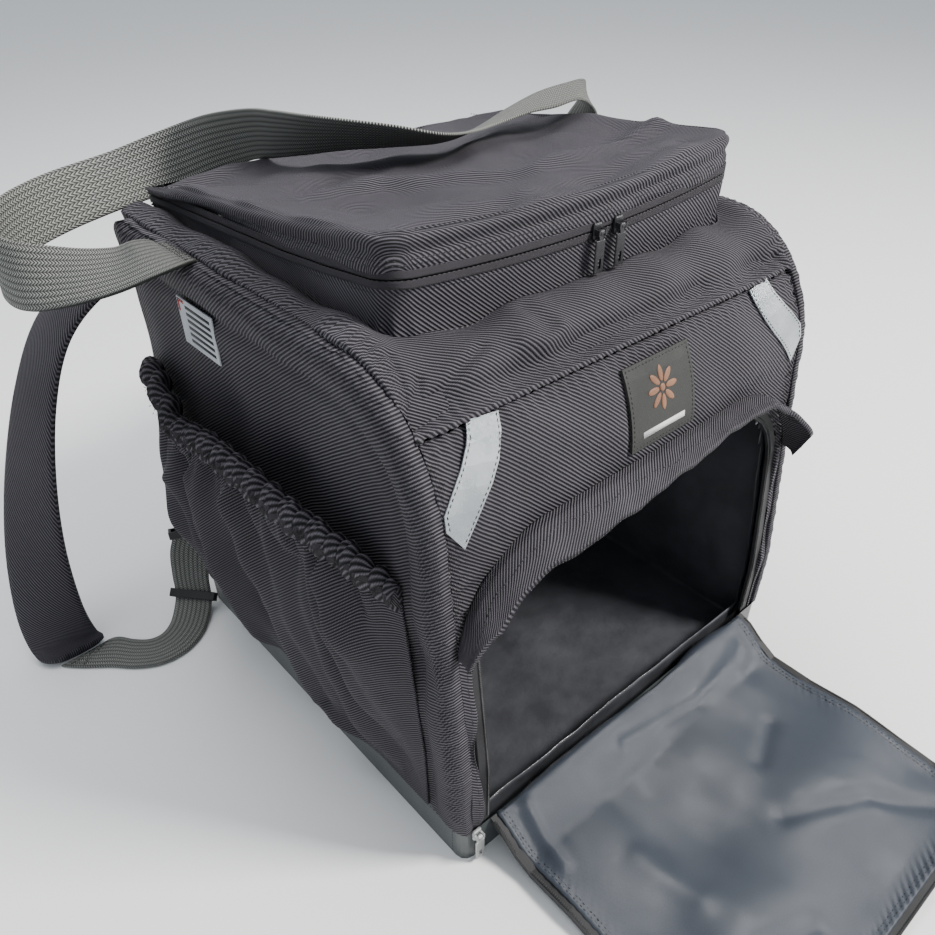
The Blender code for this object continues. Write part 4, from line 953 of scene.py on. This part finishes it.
def door_surface(x, length):
    """Point on the flap's inner face: down off the boot's edge, then over the ground in soft waves."""
    fall = float(smooth(length / DOOR_FALL))
    top = BOOT_HEIGHT - 2 * GAP
    rest = DOOR_THICK + 2 * GAP + DOOR_WAVE
    wave = DOOR_WAVE * fall * math.sin(x / BODY_WIDTH * 9 + length / DOOR_LENGTH * 5) * math.cos(
        length / DOOR_LENGTH * 7 - x / BODY_WIDTH * 5)
    return Vector((x, -HALF_DEPTH - GAP - length, top + (rest - top) * fall + wave))


def door_spot(u, v):
    """Point (x, length) of the padded flap's grid, inside its bound edge."""
    half = MOUTH_WIDTH / 2 - ZIP_BAND - DOOR_BINDING - 2 * GAP
    full = DOOR_LENGTH - DOOR_BINDING - GAP
    radius = MOUTH_RADIUS - ZIP_BAND - DOOR_BINDING
    over = max(full * v - full + radius, 0.0)
    reach = half - radius + math.sqrt(max(radius * radius - over * over, 0.0))
    return reach * (u * 2 - 1), full * v


def door_place(u, v, back):
    """Point of the padded door."""
    return door_surface(*door_spot(u, 1 - (1 - v) ** 1.4)) - Vector((0, 0, DOOR_THICK * back))


def door_weave(u, v):
    """Place (x, length) on the door, with its rows closer at the free end."""
    return door_spot(u, 1 - (1 - v) ** 1.4)


def door_relief(spots):
    """Quilted waves over the foam, sunk at the bound edge."""
    full = DOOR_LENGTH - DOOR_BINDING
    edge = np.minimum(MOUTH_WIDTH / 2 - ZIP_BAND - DOOR_BINDING - np.abs(spots[:, 0]), full - spots[:, 1])
    slack = crease(spots, DOOR_FOLDS) + waves(spots, 71, 0.110, 0.0024) + waves(spots, 72, 0.040, 0.0003)
    rucks = 0.0007 * np.sin(2 * math.pi * (spots[:, 0] + spots[:, 1]) / 0.008)
    rucks = rucks * np.exp(-((edge - 0.006) / 0.006) ** 2)
    return slack * smooth(edge / 0.02) + rucks - 0.0012 * np.exp(-(edge / 0.005) ** 2)


door = add_piece("padded_door", quilt(130, 130, door_place, door_weave), door_nylon, "nylon", "door_flap")
relief(door, door_relief)


def door_run(margin, first=0.02):
    """A run round the door's free edge, moved out by a margin."""
    rim = [door_spot(0.0, share) for share in np.linspace(first, 1.0, 90)]
    rim += [door_spot(share, 1.0) for share in np.linspace(0.05, 0.95, 60)]
    rim += [door_spot(1.0, share) for share in np.linspace(1.0, first, 90)]
    spots = [Vector(spot) for spot in rim]
    run = []
    for before, spot, after in zip([spots[0]] + spots, spots, spots[1:] + [spots[-1]]):
        ahead = (after - before).normalized()
        moved = spot + Vector((-ahead.y, ahead.x)) * margin
        run.append((door_surface(moved.x, moved.y), Vector((0, 0, 1))))
    return run


sew("door_coil", [door_run(DOOR_BINDING - 0.0012)], coil, "zip_tape", **COIL)
sew("door_stitches", [press(door, door_run(-0.0030)), press(door, door_run(-0.0060))], black_thread, "nylon",
    length=0.0026)

# ---- Side pockets: a gathered sheet of twill between the foot and an elastic hem.
# The folds fan down towards the front foot. The hem is a casing ruffled by
# the elastic inside it.
POCKET_FRONT = 0.042
POCKET_BACK = 0.012
POCKET_PUFF = 0.030
POCKET_HEM = BODY_HEIGHT - 0.131
CLOTH = 0.002
HEM_HEIGHT = 0.014
HEM_THICK = 0.006
HEM_RUFFLE = 0.0045
HEM_PLEATS = 52
POCKET_WIDE = 0.46
POCKET_TALL = 0.27
POCKET_FANS = 12
HEM_RUFFLES = 14
HEM_ALONG = (0.00, 0.10, 0.24, 0.42, 0.60, 0.78, 0.92, 1.00)
HEM_LEVEL = (0.975, 1.010, 0.925, 0.985, 1.010, 1.000, 0.955, 0.880)
HEM_OUT = (0.00, 0.42, 0.72, 0.80, 0.92, 0.85, 0.45, 0.00)


def pocket_spot(share, height):
    """Place (distance off the side, y, z) of the gathered pocket, between 0 and 1 both ways."""
    z = PANEL_FOOT + (POCKET_HEM * float(np.interp(share, HEM_ALONG, HEM_LEVEL)) - PANEL_FOOT) * height
    front = float(front_line(z, 0.0)) + POCKET_FRONT
    back = HALF_DEPTH - POCKET_BACK
    y = back + (front - back) * share
    edge = float(smooth(share / 0.14) * smooth((1 - share) / 0.12))
    belly = math.sin(math.pi * min(height * 1.15, 1.0) * 0.62) ** 0.8 if height > 0 else 0.0
    body = POCKET_PUFF * edge * belly * float(smooth(height / 0.16))
    hem = POCKET_PUFF * float(np.interp(share, HEM_ALONG, HEM_OUT))
    puff = body + (hem - body) * float(smooth((height - 0.72) / 0.28))
    return max(puff, 0.0), y, z


# Folds of the pocket by (y, z): strong ridges that fan down towards the front foot, and the hollows between.
POCKET_RIDGES = (
    (0.0120, 0.0095, ((0.0845, 0.2435), (0.0666, 0.157), (0.0512, 0.04))),
    (0.0130, 0.0100, ((0.0086, 0.2655), (-0.029, 0.178), (-0.0495, 0.0747), (-0.104, 0.047))),
    (0.0120, 0.0090, ((-0.101, 0.259), (-0.129, 0.2125), (-0.153, 0.17), (-0.173, 0.07))),
    (0.0080, 0.0090, ((0.145, 0.211), (0.17, 0.10))),
    (-0.0130, 0.0120, ((0.037, 0.259), (0.027, 0.137), (-0.0215, 0.04))),
    (-0.0130, 0.0120, ((-0.0586, 0.24), (-0.0956, 0.164), (-0.15, 0.06))),
    (-0.0100, 0.0110, ((0.115, 0.235), (0.118, 0.10))),
)


def hem_place(u, v):
    """Point of the ruffled hem: a soft tube over the elastic, pleated all along."""
    puff, y, z = pocket_spot(u, 1.0)
    ease = float(smooth(u / 0.03) * smooth((1 - u) / 0.03))
    turn = 2 * math.pi * v
    pleat = math.sin(2 * math.pi * HEM_PLEATS * u + 1.3 * math.sin(turn) + 1.5 * math.sin(23 * u))
    sway = HEM_RUFFLE * math.sin(2 * math.pi * HEM_RUFFLES * u + math.sin(9 * u)) * ease
    wide = 0.0070 * (1 + 0.40 * pleat * ease)
    tall = 0.0105 * (1 + 0.26 * pleat * ease)
    off = HEM_THICK / 2 + puff + sway * 0.7 + wide * math.cos(turn)
    level = z + HEM_HEIGHT / 2 + sway * 0.6 + tall * math.sin(turn)
    return max(off, 0.0004), y + 0.0016 * pleat * ease, level


def pocket_weave(u, v):
    """Place on the pocket's flat cloth, from its back edge forwards."""
    return -u * POCKET_WIDE, v * POCKET_TALL


hem_rows = {}
for side, label in ((-1, "left"), (1, "right")):
    def pocket_place(u, v, back):
        puff, y, z = pocket_spot(u, v)
        return Vector((side * (HALF_WIDTH + GAP + CLOTH * (1 - back) + puff), y, z))

    pocket = add_piece(f"gathered_pocket_{label}", quilt(210, 110, pocket_place, pocket_weave, SIDE_SLANT),
                       twill, "twill", f"side_pocket_{label}")
    places, _ = read_places(pocket.data)
    flat = read_flat(pocket.data)
    share, climb = -flat[:, 0] / POCKET_WIDE, flat[:, 1] / POCKET_TALL
    edge = smooth(share / 0.08) * smooth((1 - share) / 0.10) * smooth(climb / 0.12)
    fold = crease(places[:, 1:], POCKET_RIDGES) + waves(places[:, 1:] * (1, 0.35), 61, 0.034, 0.0015)
    pleats = 0.0030 * np.sin(2 * math.pi * HEM_PLEATS / 2 * share + 1.5 * np.sin(11 * share))
    fold += pleats * np.exp(-((1 - climb) / 0.16) ** 2)
    fans = np.sin(2 * math.pi * POCKET_FANS * share * (0.80 + 0.20 * climb) + 1.4 * np.sin(7 * share))
    fold += 0.0042 * fans * (0.25 + 0.75 * smooth(climb / 0.8))
    fold += 0.0016 * np.sin(2 * math.pi * 60 * share) * np.exp(-(climb / 0.05) ** 2)
    off = np.abs(places[:, 0]) - HALF_WIDTH + fold * edge
    places[:, 0] = side * (HALF_WIDTH + np.maximum(off, 0.0006 + CLOTH * 0.8 * flat[:, 2]))
    set_places(pocket.data, places)

    bm = bmesh.new()
    bmesh.ops.create_grid(bm, x_segments=520, y_segments=14, size=0.5)
    layer = bm.verts.layers.float_vector.new("weave")
    for vert in bm.verts:
        u, v = vert.co.x + 0.5, vert.co.y + 0.5
        vert[layer] = (-u * 0.36 + v * 0.02, v * 0.024 + u * 0.5, 0.0)
        off, y, z = hem_place(u, v)
        vert.co = (side * (HALF_WIDTH + GAP + off), y, z)
    bmesh.ops.remove_doubles(bm, verts=[v for v in bm.verts if v.is_boundary], dist=1e-6)
    bmesh.ops.edgeloop_fill(bm, edges=[edge for edge in bm.edges if edge.is_boundary])
    bmesh.ops.recalc_face_normals(bm, faces=bm.faces)
    hem = add_piece(f"elastic_hem_{label}", bm, twill, "twill", f"pocket_hem_{label}")
    out = Vector((side, 0, 0))
    hem_rows[label] = []
    for share in np.linspace(0.02, 0.98, 90):
        off = HALF_WIDTH + GAP + hem_place(share, 0.0)[0] + 0.001
        hem_rows[label].append((Vector((side * off, *hem_place(share, 0.78)[1:])), out))
sew("hem_stitches", list(hem_rows.values()), black_thread, length=0.0026)

# ---- Trim: tape, badge and label sewn flat on the twill.
reflector = coated("Reflective tape", (0.30, 0.33, 0.35), (0.44, 0.47, 0.49), 0.2, 2500.0, Metallic=0.4)
rubber = coated("Black rubber", (0.014, 0.015, 0.013), (0.026, 0.027, 0.024), 0.5)
copper = coated("Copper-brown print", (0.16, 0.070, 0.036), (0.26, 0.120, 0.062), 0.42, 1500.0)
white_ink = coated("White print", (0.62, 0.62, 0.60), (0.76, 0.76, 0.74), 0.5, 1500.0)
red_thread = coated("Red thread", (0.30, 0.020, 0.022), (0.42, 0.035, 0.035), 0.7, 3000.0)
white_thread = coated("White thread", (0.50, 0.50, 0.50), (0.66, 0.66, 0.66), 0.7, 3000.0)
label_cloth = coated("Woven label", (0.42, 0.44, 0.48), (0.60, 0.62, 0.65), 0.8, 2200.0)
refinish(reflector, "reflective_strip_left", "reflective_strip_right")
refinish(rubber, "front_patch")
refinish(label_cloth, "side_label")
TRIM_TOP = TRIM_SEAT + 0.0025
ROSETTE_RISE = PATCH_RISE + 0.006
PETALS = 8
PETAL_REACH = 0.0095


def front_turn(x, rise, proud, angle=0.0):
    """Where a small print lies on the front: across, up and out, turned on the surface."""
    _, _, out = front_at(rise)
    across = Vector((1, 0, 0))
    up = out.cross(across)
    a, b = math.cos(angle), math.sin(angle)
    turn = Matrix((across * a + up * b, up * a - across * b, out)).transposed().to_4x4()
    turn.translation = on_front(x, rise, proud)
    return turn


bm = bmesh.new()
for petal in range(PETALS):
    angle = 2 * math.pi * petal / PETALS
    turn = front_turn(PATCH_X + PETAL_REACH * math.cos(angle), ROSETTE_RISE + PETAL_REACH * math.sin(angle),
                      TRIM_TOP, angle)
    turn = turn @ Matrix.Diagonal((0.0125, 0.0052, 0.0012, 1))
    bmesh.ops.create_icosphere(bm, subdivisions=2, radius=0.5, matrix=turn)
turn = front_turn(PATCH_X, ROSETTE_RISE, TRIM_TOP) @ Matrix.Diagonal((0.006, 0.006, 0.0016, 1))
bmesh.ops.create_icosphere(bm, subdivisions=2, radius=0.5, matrix=turn)
add_piece("patch_rosette", bm, copper, "rubber")
bm = bmesh.new()
bmesh.ops.create_cube(bm, size=1.0, matrix=front_turn(PATCH_X, PATCH_RISE - 0.019, TRIM_TOP) @
                      Matrix.Diagonal((0.046, 0.0045, 0.0006, 1)))
add_piece("patch_bar", bm, white_ink, "rubber")
rim = [(PATCH_X + PATCH_WIDTH / 2 * a * 0.93, PATCH_RISE + PATCH_HEIGHT / 2 * b * 0.92)
       for a, b in ((-1, -1), (1, -1), (1, 1), (-1, 1), (-1, -1))]
sew("patch_stitches", [[(on_front(x0 + (x1 - x0) * mix, r0 + (r1 - r0) * mix, TRIM_TOP),
                         front_at(r0 + (r1 - r0) * mix)[2]) for mix in np.linspace(0, 1, 12)]
                       for (x0, r0), (x1, r1) in zip(rim, rim[1:])], black_thread, "rubber", length=0.0024)

LABEL_X = -HALF_WIDTH - GAP - 0.0011
LABEL_Y = HALF_DEPTH - 0.125
LABEL_Z = BODY_HEIGHT - 0.054
bm = bmesh.new()
for row in range(6):
    turn = Matrix.Translation((LABEL_X, LABEL_Y - 0.004, LABEL_Z - 0.0135 + 0.0054 * row))
    bmesh.ops.create_cube(bm, size=1.0, matrix=turn @ Matrix.Diagonal((0.0003, 0.038, 0.0026, 1)))
add_piece("label_stripes", bm, black_thread, "woven_label")
bm = bmesh.new()
for reach, rise in ((0.010, 0.0022), (0.0022, 0.010)):
    turn = Matrix.Translation((LABEL_X, LABEL_Y + 0.0262 - reach / 2, LABEL_Z + 0.0178 - rise / 2))
    bmesh.ops.create_cube(bm, size=1.0, matrix=turn @ Matrix.Diagonal((0.0005, reach, rise, 1)))
add_piece("label_corner", bm, red_thread, "woven_label")
out = Vector((-1, 0, 0))
corners = [Vector((LABEL_X, LABEL_Y + 0.0255 * a, LABEL_Z + 0.0172 * b))
           for a, b in ((-1, -1), (1, -1), (1, 1), (-1, 1), (-1, -1))]
sew("label_stitches", [[(a, out), (b, out)] for a, b in zip(corners, corners[1:])], white_thread,
    "woven_label", length=0.0022, gap=0.0009)

strip_rows = []
for side in (-1, 1):
    for shift in (-0.43, 0.43):
        run = []
        for mix in np.linspace(0.03, 0.97, 20):
            walk = min(mix * 4, 3.999)
            start, stop = (Vector(spot) for spot in STRIP_LINE[int(walk):int(walk) + 2])
            ahead = (stop - start).normalized()
            spot = start.lerp(stop, walk % 1) + Vector((ahead.y, -ahead.x)) * TRIM_WIDTH * shift
            rise = min(spot.y, CREASE_RISE - 0.003)
            x = -side * max(spot.x, 0.003 - PANEL_END)
            run.append((on_front(x, rise, TRIM_SEAT + 0.001), front_at(rise)[2]))
        strip_rows.append(run)
sew("strip_stitches", strip_rows, black_thread, "reflector", length=0.0026)

# ---- Straps: a carry strap of 50 mm webbing, two padded shoulder straps and their webbing.
# The webbing is woven from coarse dark grey-green threads.
CARRY_WIDTH = 0.050
WEB_WIDTH = 0.040
WEB_THICK = 0.002
PAD_WIDTH = 0.062
PAD_THICK = 0.012
# Places along each strap, as shares of the half width, half depth and height.
# heading turns the direction across the strap about +Z, and tip lifts it.
CARRY_ROUTE = (  # (x, y, z, heading, tip), from the left seam round to the right seam
    (-0.980, 0.467, 1.0034, 90, 0),
    (-1.010, 0.467, 1.0034, 90, 0),
    (-1.045, 0.476, 1.0053, 88, 6),
    (-1.100, 0.524, 0.9952, 80, 12),
    (-1.175, 0.619, 0.9711, 67, 18),
    (-1.295, 0.752, 0.9542, 60, 34),
    (-1.420, 0.929, 0.9446, 52, 62),
    (-1.440, 1.143, 0.9470, 55, 84),
    (-1.310, 1.348, 0.9566, 75, 76),
    (-1.070, 1.443, 0.9735, 85, 58),
    (-0.750, 1.448, 0.9952, 85, 50),
    (-0.530, 1.367, 1.0241, 76, 72),
    (-0.420, 1.200, 1.0610, 64, 98),
    (-0.340, 1.010, 1.0893, 72, 114),
    (-0.310, 0.857, 1.1014, 72, 122),
    (-0.270, 0.700, 1.1122, 65, 131),
    (-0.180, 0.552, 1.1194, 59, 141),
    (-0.050, 0.410, 1.1200, 55, 149),
    (0.100, 0.305, 1.1152, 51, 159),
    (0.260, 0.295, 1.1164, 46, 168),
    (0.450, 0.324, 1.1249, 44, 177),
    (0.620, 0.314, 1.1405, 38, 185),
    (0.750, 0.276, 1.1494, 32, 190),
    (0.870, 0.267, 1.1518, 38, 186),
    (0.970, 0.314, 1.1181, 56, 181),
    (1.030, 0.390, 1.0699, 76, 180),
    (1.050, 0.452, 1.0241, 88, 180),
    (1.015, 0.467, 1.0034, 90, 180),
    (0.980, 0.467, 1.0034, 90, 180),
)
PAD_ROUTE = (  # (x, y, z, heading, tip), from the top of the back over and down to the ground
    (-0.375, 1.0320, 0.720, 0, 0),
    (-0.380, 1.0325, 0.775, 0, 0),
    (-0.395, 1.0900, 0.835, 0, 0),
    (-0.430, 1.2100, 0.855, 14, 0),
    (-0.560, 1.3300, 0.850, 46, 0),
    (-0.780, 1.3800, 0.838, 78, 0),
    (-1.040, 1.3900, 0.806, 90, 0),
    (-1.260, 1.3850, 0.730, 95, 0),
    (-1.430, 1.3650, 0.600, 102, 0),
    (-1.580, 1.3250, 0.430, 114, 0),
    (-1.690, 1.2700, 0.260, 130, 0),
    (-1.750, 1.2000, 0.110, 150, 0),
    (-1.755, 1.1200, 0.030, 168, 0),
    (-1.725, 1.0350, 0.0160, 180, 0),
)
WEB_ROUTE = (  # (x, y, z, heading, tip), from the lower seam round over the ground to the pad's end
    (-0.870, 1.010, 0.4000, 0, 0),
    (-0.875, 1.010, 0.3398, 0, 0),
    (-0.925, 1.048, 0.2699, -8, 0),
    (-0.980, 1.076, 0.2048, -20, 0),
    (-1.040, 1.081, 0.1349, -36, 0),
    (-1.083, 1.045, 0.0723, -48, 0),
    (-1.117, 0.983, 0.0301, -50, 0),
    (-1.180, 0.907, 0.0096, -50, 0),
    (-1.250, 0.840, 0.0053, -58, 0),
    (-1.335, 0.800, 0.0053, -76, 0),
    (-1.430, 0.805, 0.0053, -98, 0),
    (-1.515, 0.860, 0.0053, -114, 0),
    (-1.585, 0.936, 0.0053, -128, 0),
    (-1.660, 0.987, 0.0053, -152, 0),
    (-1.725, 1.021, 0.0053, -178, 0),
)


def spline(points, share):
    """A point on a smooth curve through the route's points, with even speed along its rows."""
    spans = len(points) - 1
    walk = min(share, 0.999999) * spans
    start = int(walk)
    mix = walk - start
    p = [Vector(points[min(max(start + k, 0), spans)]) for k in (-1, 0, 1, 2)]
    tangent_a = (p[2] - p[0]) / 2
    tangent_b = (p[3] - p[1]) / 2
    square = mix * mix
    cube = square * mix
    return (p[1] * (2 * cube - 3 * square + 1) + tangent_a * (cube - 2 * square + mix)
            + p[2] * (3 * square - 2 * cube) + tangent_b * (cube - square))


def band_frame(route, share, side):
    """Middle of a band at a share of its route, with the ways across it, ahead and out of its face."""
    places = [(-side * x * HALF_WIDTH, y * HALF_DEPTH, z * BODY_HEIGHT) for x, y, z, _, _ in route]
    angles = [(heading, tip, 0.0) for _, _, _, heading, tip in route]
    heading, tip, _ = spline(angles, share)
    turn = math.radians(heading)
    lean = math.radians(tip)
    flat = math.cos(lean)
    across = Vector((-side * math.cos(turn) * flat, math.sin(turn) * flat, math.sin(lean)))
    ahead = spline(places, min(share + 0.01, 1.0)) - spline(places, max(share - 0.01, 0.0))
    out = ahead.cross(across).normalized()
    return spline(places, share), across, out.cross(across), out


def band(name, route, width, thick, steps, rows, length, material, slot, node, side=-1, round_end=0.0,
         crown=0.0, slant=0.0):
    """Flat webbing or a pad along a route of rows (x, y, z, width heading, width tip)."""
    def place(u, v, back):
        spot, across, _, out = band_frame(route, u, side)
        end = min(u, 1 - u) * 30
        taper = 1.0 if end > 1.5 else 1.0 - round_end * (1 - end / 1.5) ** 2
        swell = crown * (math.sin(math.pi * v) ** 0.5 - 1)
        return spot + across * width * (v - 0.5) * taper + out * (thick / 2 + swell) * (1 - 2 * back)

    grid = quilt(steps, rows, place, lambda u, v: (u * length, v * width), slant)
    return add_piece(name, grid, material, slot, node)


CHEVRON = 0.0024
strapping, strapping_in, strapping_out, web_place = start_weave("Webbing weave")
web_along, web_across, _ = add_node(strapping, "ShaderNodeSeparateXYZ", Vector=web_place).outputs
zigzag = calc(strapping, "PINGPONG", web_across, CHEVRON)
web_turns = calc(strapping, "DIVIDE", calc(strapping, "ADD", web_along, zigzag), strapping_in["Pitch"])
web_ridge = ripple(strapping, web_turns)
web_valley = calc(strapping, "POWER", calc(strapping, "DIVIDE", zigzag, CHEVRON), 0.4)
web_fuzz = add_node(strapping, "ShaderNodeTexNoise", Vector=web_place, Scale=1100.0,
                    Detail=3.0).outputs["Fac"]
web_shade = calc(strapping, "MULTIPLY", calc(strapping, "MULTIPLY", web_ridge, web_valley),
                 calc(strapping, "MULTIPLY_ADD", web_fuzz, 1.4, 0.3))
strapping.links.new(mix_colour(strapping, web_shade, strapping_in["Dark"], strapping_in["Light"]),
                    strapping_out["Color"])
strapping.links.new(calc(strapping, "MULTIPLY_ADD", web_fuzz, 0.2, strapping_in["Gloss"]),
                    strapping_out["Roughness"])
strapping.links.new(calc(strapping, "MULTIPLY", web_ridge, web_valley), strapping_out["Height"])
webbing = woven("Grey-green webbing", strapping, 0.0024, (0.008, 0.009, 0.008), (0.38, 0.385, 0.36),
                (0.2, 0.2, 0.2), 0.6, 0.0006, Specular_IOR_Level=0.3)
band("carry_webbing", CARRY_ROUTE, CARRY_WIDTH, WEB_THICK, 300, 10, 1.05, webbing, "webbing", "carry_strap")


BOX_LINES = (((0, -1), (1, -1)), ((1, -1), (1, 1)), ((1, 1), (0, 1)), ((0, 1), (0, -1)),
             ((0, -1), (1, 1)), ((0, 1), (1, -1)))


def band_stitches(name, route, width, thick, spans, sides=(-1,)):
    """Stitched boxes with a cross where a band is sewn down; spans are shares of its route."""
    rows = []
    for side in sides:
        for start, stop in spans:
            def spot(mix, across, face):
                middle, wide, _, out = band_frame(route, start + (stop - start) * mix, side)
                return middle + wide * width * 0.40 * across + out * face * thick * 0.6, out * face
            for face in (-1, 1):
                for (m0, a0), (m1, a1) in BOX_LINES:
                    rows.append([spot(m0 + (m1 - m0) * mix, a0 + (a1 - a0) * mix, face)
                                 for mix in np.linspace(0, 1, 8)])
    return sew(name, rows, black_thread, "webbing", length=0.0028)


band_stitches("carry_stitches", CARRY_ROUTE, CARRY_WIDTH, WEB_THICK, ((0.006, 0.036), (0.964, 0.994)))
band_stitches("pad_stitches", WEB_ROUTE, WEB_WIDTH, WEB_THICK, ((0.005, 0.05), (0.93, 0.97)), (-1, 1))
for side, label in ((-1, "left"), (1, "right")):
    pad = band(f"shoulder_pad_twill_{label}", PAD_ROUTE, PAD_WIDTH, PAD_THICK, 160, 16, 0.62, twill, "twill",
               f"shoulder_pad_{label}", side=side, round_end=0.3, crown=0.004, slant=PANEL_SLANT)
    band(f"shoulder_web_{label}", WEB_ROUTE, WEB_WIDTH, WEB_THICK, 200, 8, 0.36, webbing, "webbing",
         f"shoulder_webbing_{label}", side=side)
plastic = coated("Black plastic", (0.010, 0.010, 0.011), (0.020, 0.020, 0.021), 0.35)
refinish(plastic, "tri_glide_left", "tri_glide_right", "ladder_lock_left", "ladder_lock_right")

# ---- Zip sliders and pulls: die-cast, gunmetal on the top zip and grey on the door's.
gunmetal = coated("Gunmetal", (0.030, 0.030, 0.033), (0.055, 0.055, 0.060), 0.30, 1800.0, Metallic=0.7)
grey_metal = coated("Grey metal", (0.36, 0.37, 0.37), (0.46, 0.47, 0.47), 0.33, 1800.0, Metallic=0.8)
refinish(gunmetal, "top_slider_1", "top_slider_2", "top_pull_1", "top_pull_2")
refinish(grey_metal, "door_slider", "door_pull")

# ---- Studio: a plain pale floor, soft light from above, and the camera at the photograph's angle.
floor_finish, _, floor_shader = new_finish("Pale floor", Roughness=0.8)
floor_shader.inputs["Base Color"].default_value = (0.88, 0.88, 0.88, 1)
bm = bmesh.new()
bmesh.ops.create_grid(bm, x_segments=1, y_segments=1, size=6.0)
floor_mesh = bpy.data.meshes.new("floor")
bm.to_mesh(floor_mesh)
bm.free()
floor_mesh.materials.append(floor_finish)
floor = bpy.data.objects.new("floor", floor_mesh)
bpy.context.scene.collection.objects.link(floor)

world = bpy.data.worlds.new("Studio")
world.use_nodes = True
world.node_tree.nodes["Background"].inputs["Color"].default_value = (0.86, 0.93, 1.0, 1)
world.node_tree.nodes["Background"].inputs["Strength"].default_value = 0.66
bpy.context.scene.world = world


def add_light(name, place, target, size, power, colour=(1, 1, 1)):
    """A square soft box that faces a point."""
    lamp = bpy.data.lights.new(name, "AREA")
    lamp.size = size
    lamp.energy = power
    lamp.color = colour
    made = bpy.data.objects.new(name, lamp)
    made.location = place
    made.rotation_euler = (Vector(target) - Vector(place)).to_track_quat("-Z", "Y").to_euler()
    bpy.context.scene.collection.objects.link(made)


add_light("key", (1.15, -1.45, 2.1), (0.0, 0.0, 0.22), 0.6, 125, (1.0, 0.97, 0.93))
add_light("top", (-0.2, 0.9, 2.0), (0.0, 0.0, 0.25), 1.4, 30)

IMAGE = 935
FOCUS = 833.95
MIDDLE = (479.09, 510.28)
YAW, PITCH = math.radians(41.777), math.radians(38.261)
ahead = Vector((math.sin(YAW) * math.cos(PITCH), math.cos(YAW) * math.cos(PITCH), -math.sin(PITCH)))
right = Vector((math.cos(YAW), -math.sin(YAW), 0))
lens = bpy.data.cameras.new("camera")
lens.sensor_width = 36
lens.lens = FOCUS * 36 / IMAGE
lens.shift_x = -(MIDDLE[0] - IMAGE / 2) / IMAGE
lens.shift_y = (MIDDLE[1] - IMAGE / 2) / IMAGE
lens.clip_start = 0.01
camera = bpy.data.objects.new("camera", lens)
camera.matrix_world = Matrix.Translation((-0.42556, -0.4804, 0.64064)) @ Matrix(
    (right, right.cross(ahead), -ahead)).transposed().to_4x4()
bpy.context.scene.collection.objects.link(camera)
bpy.context.scene.camera = camera
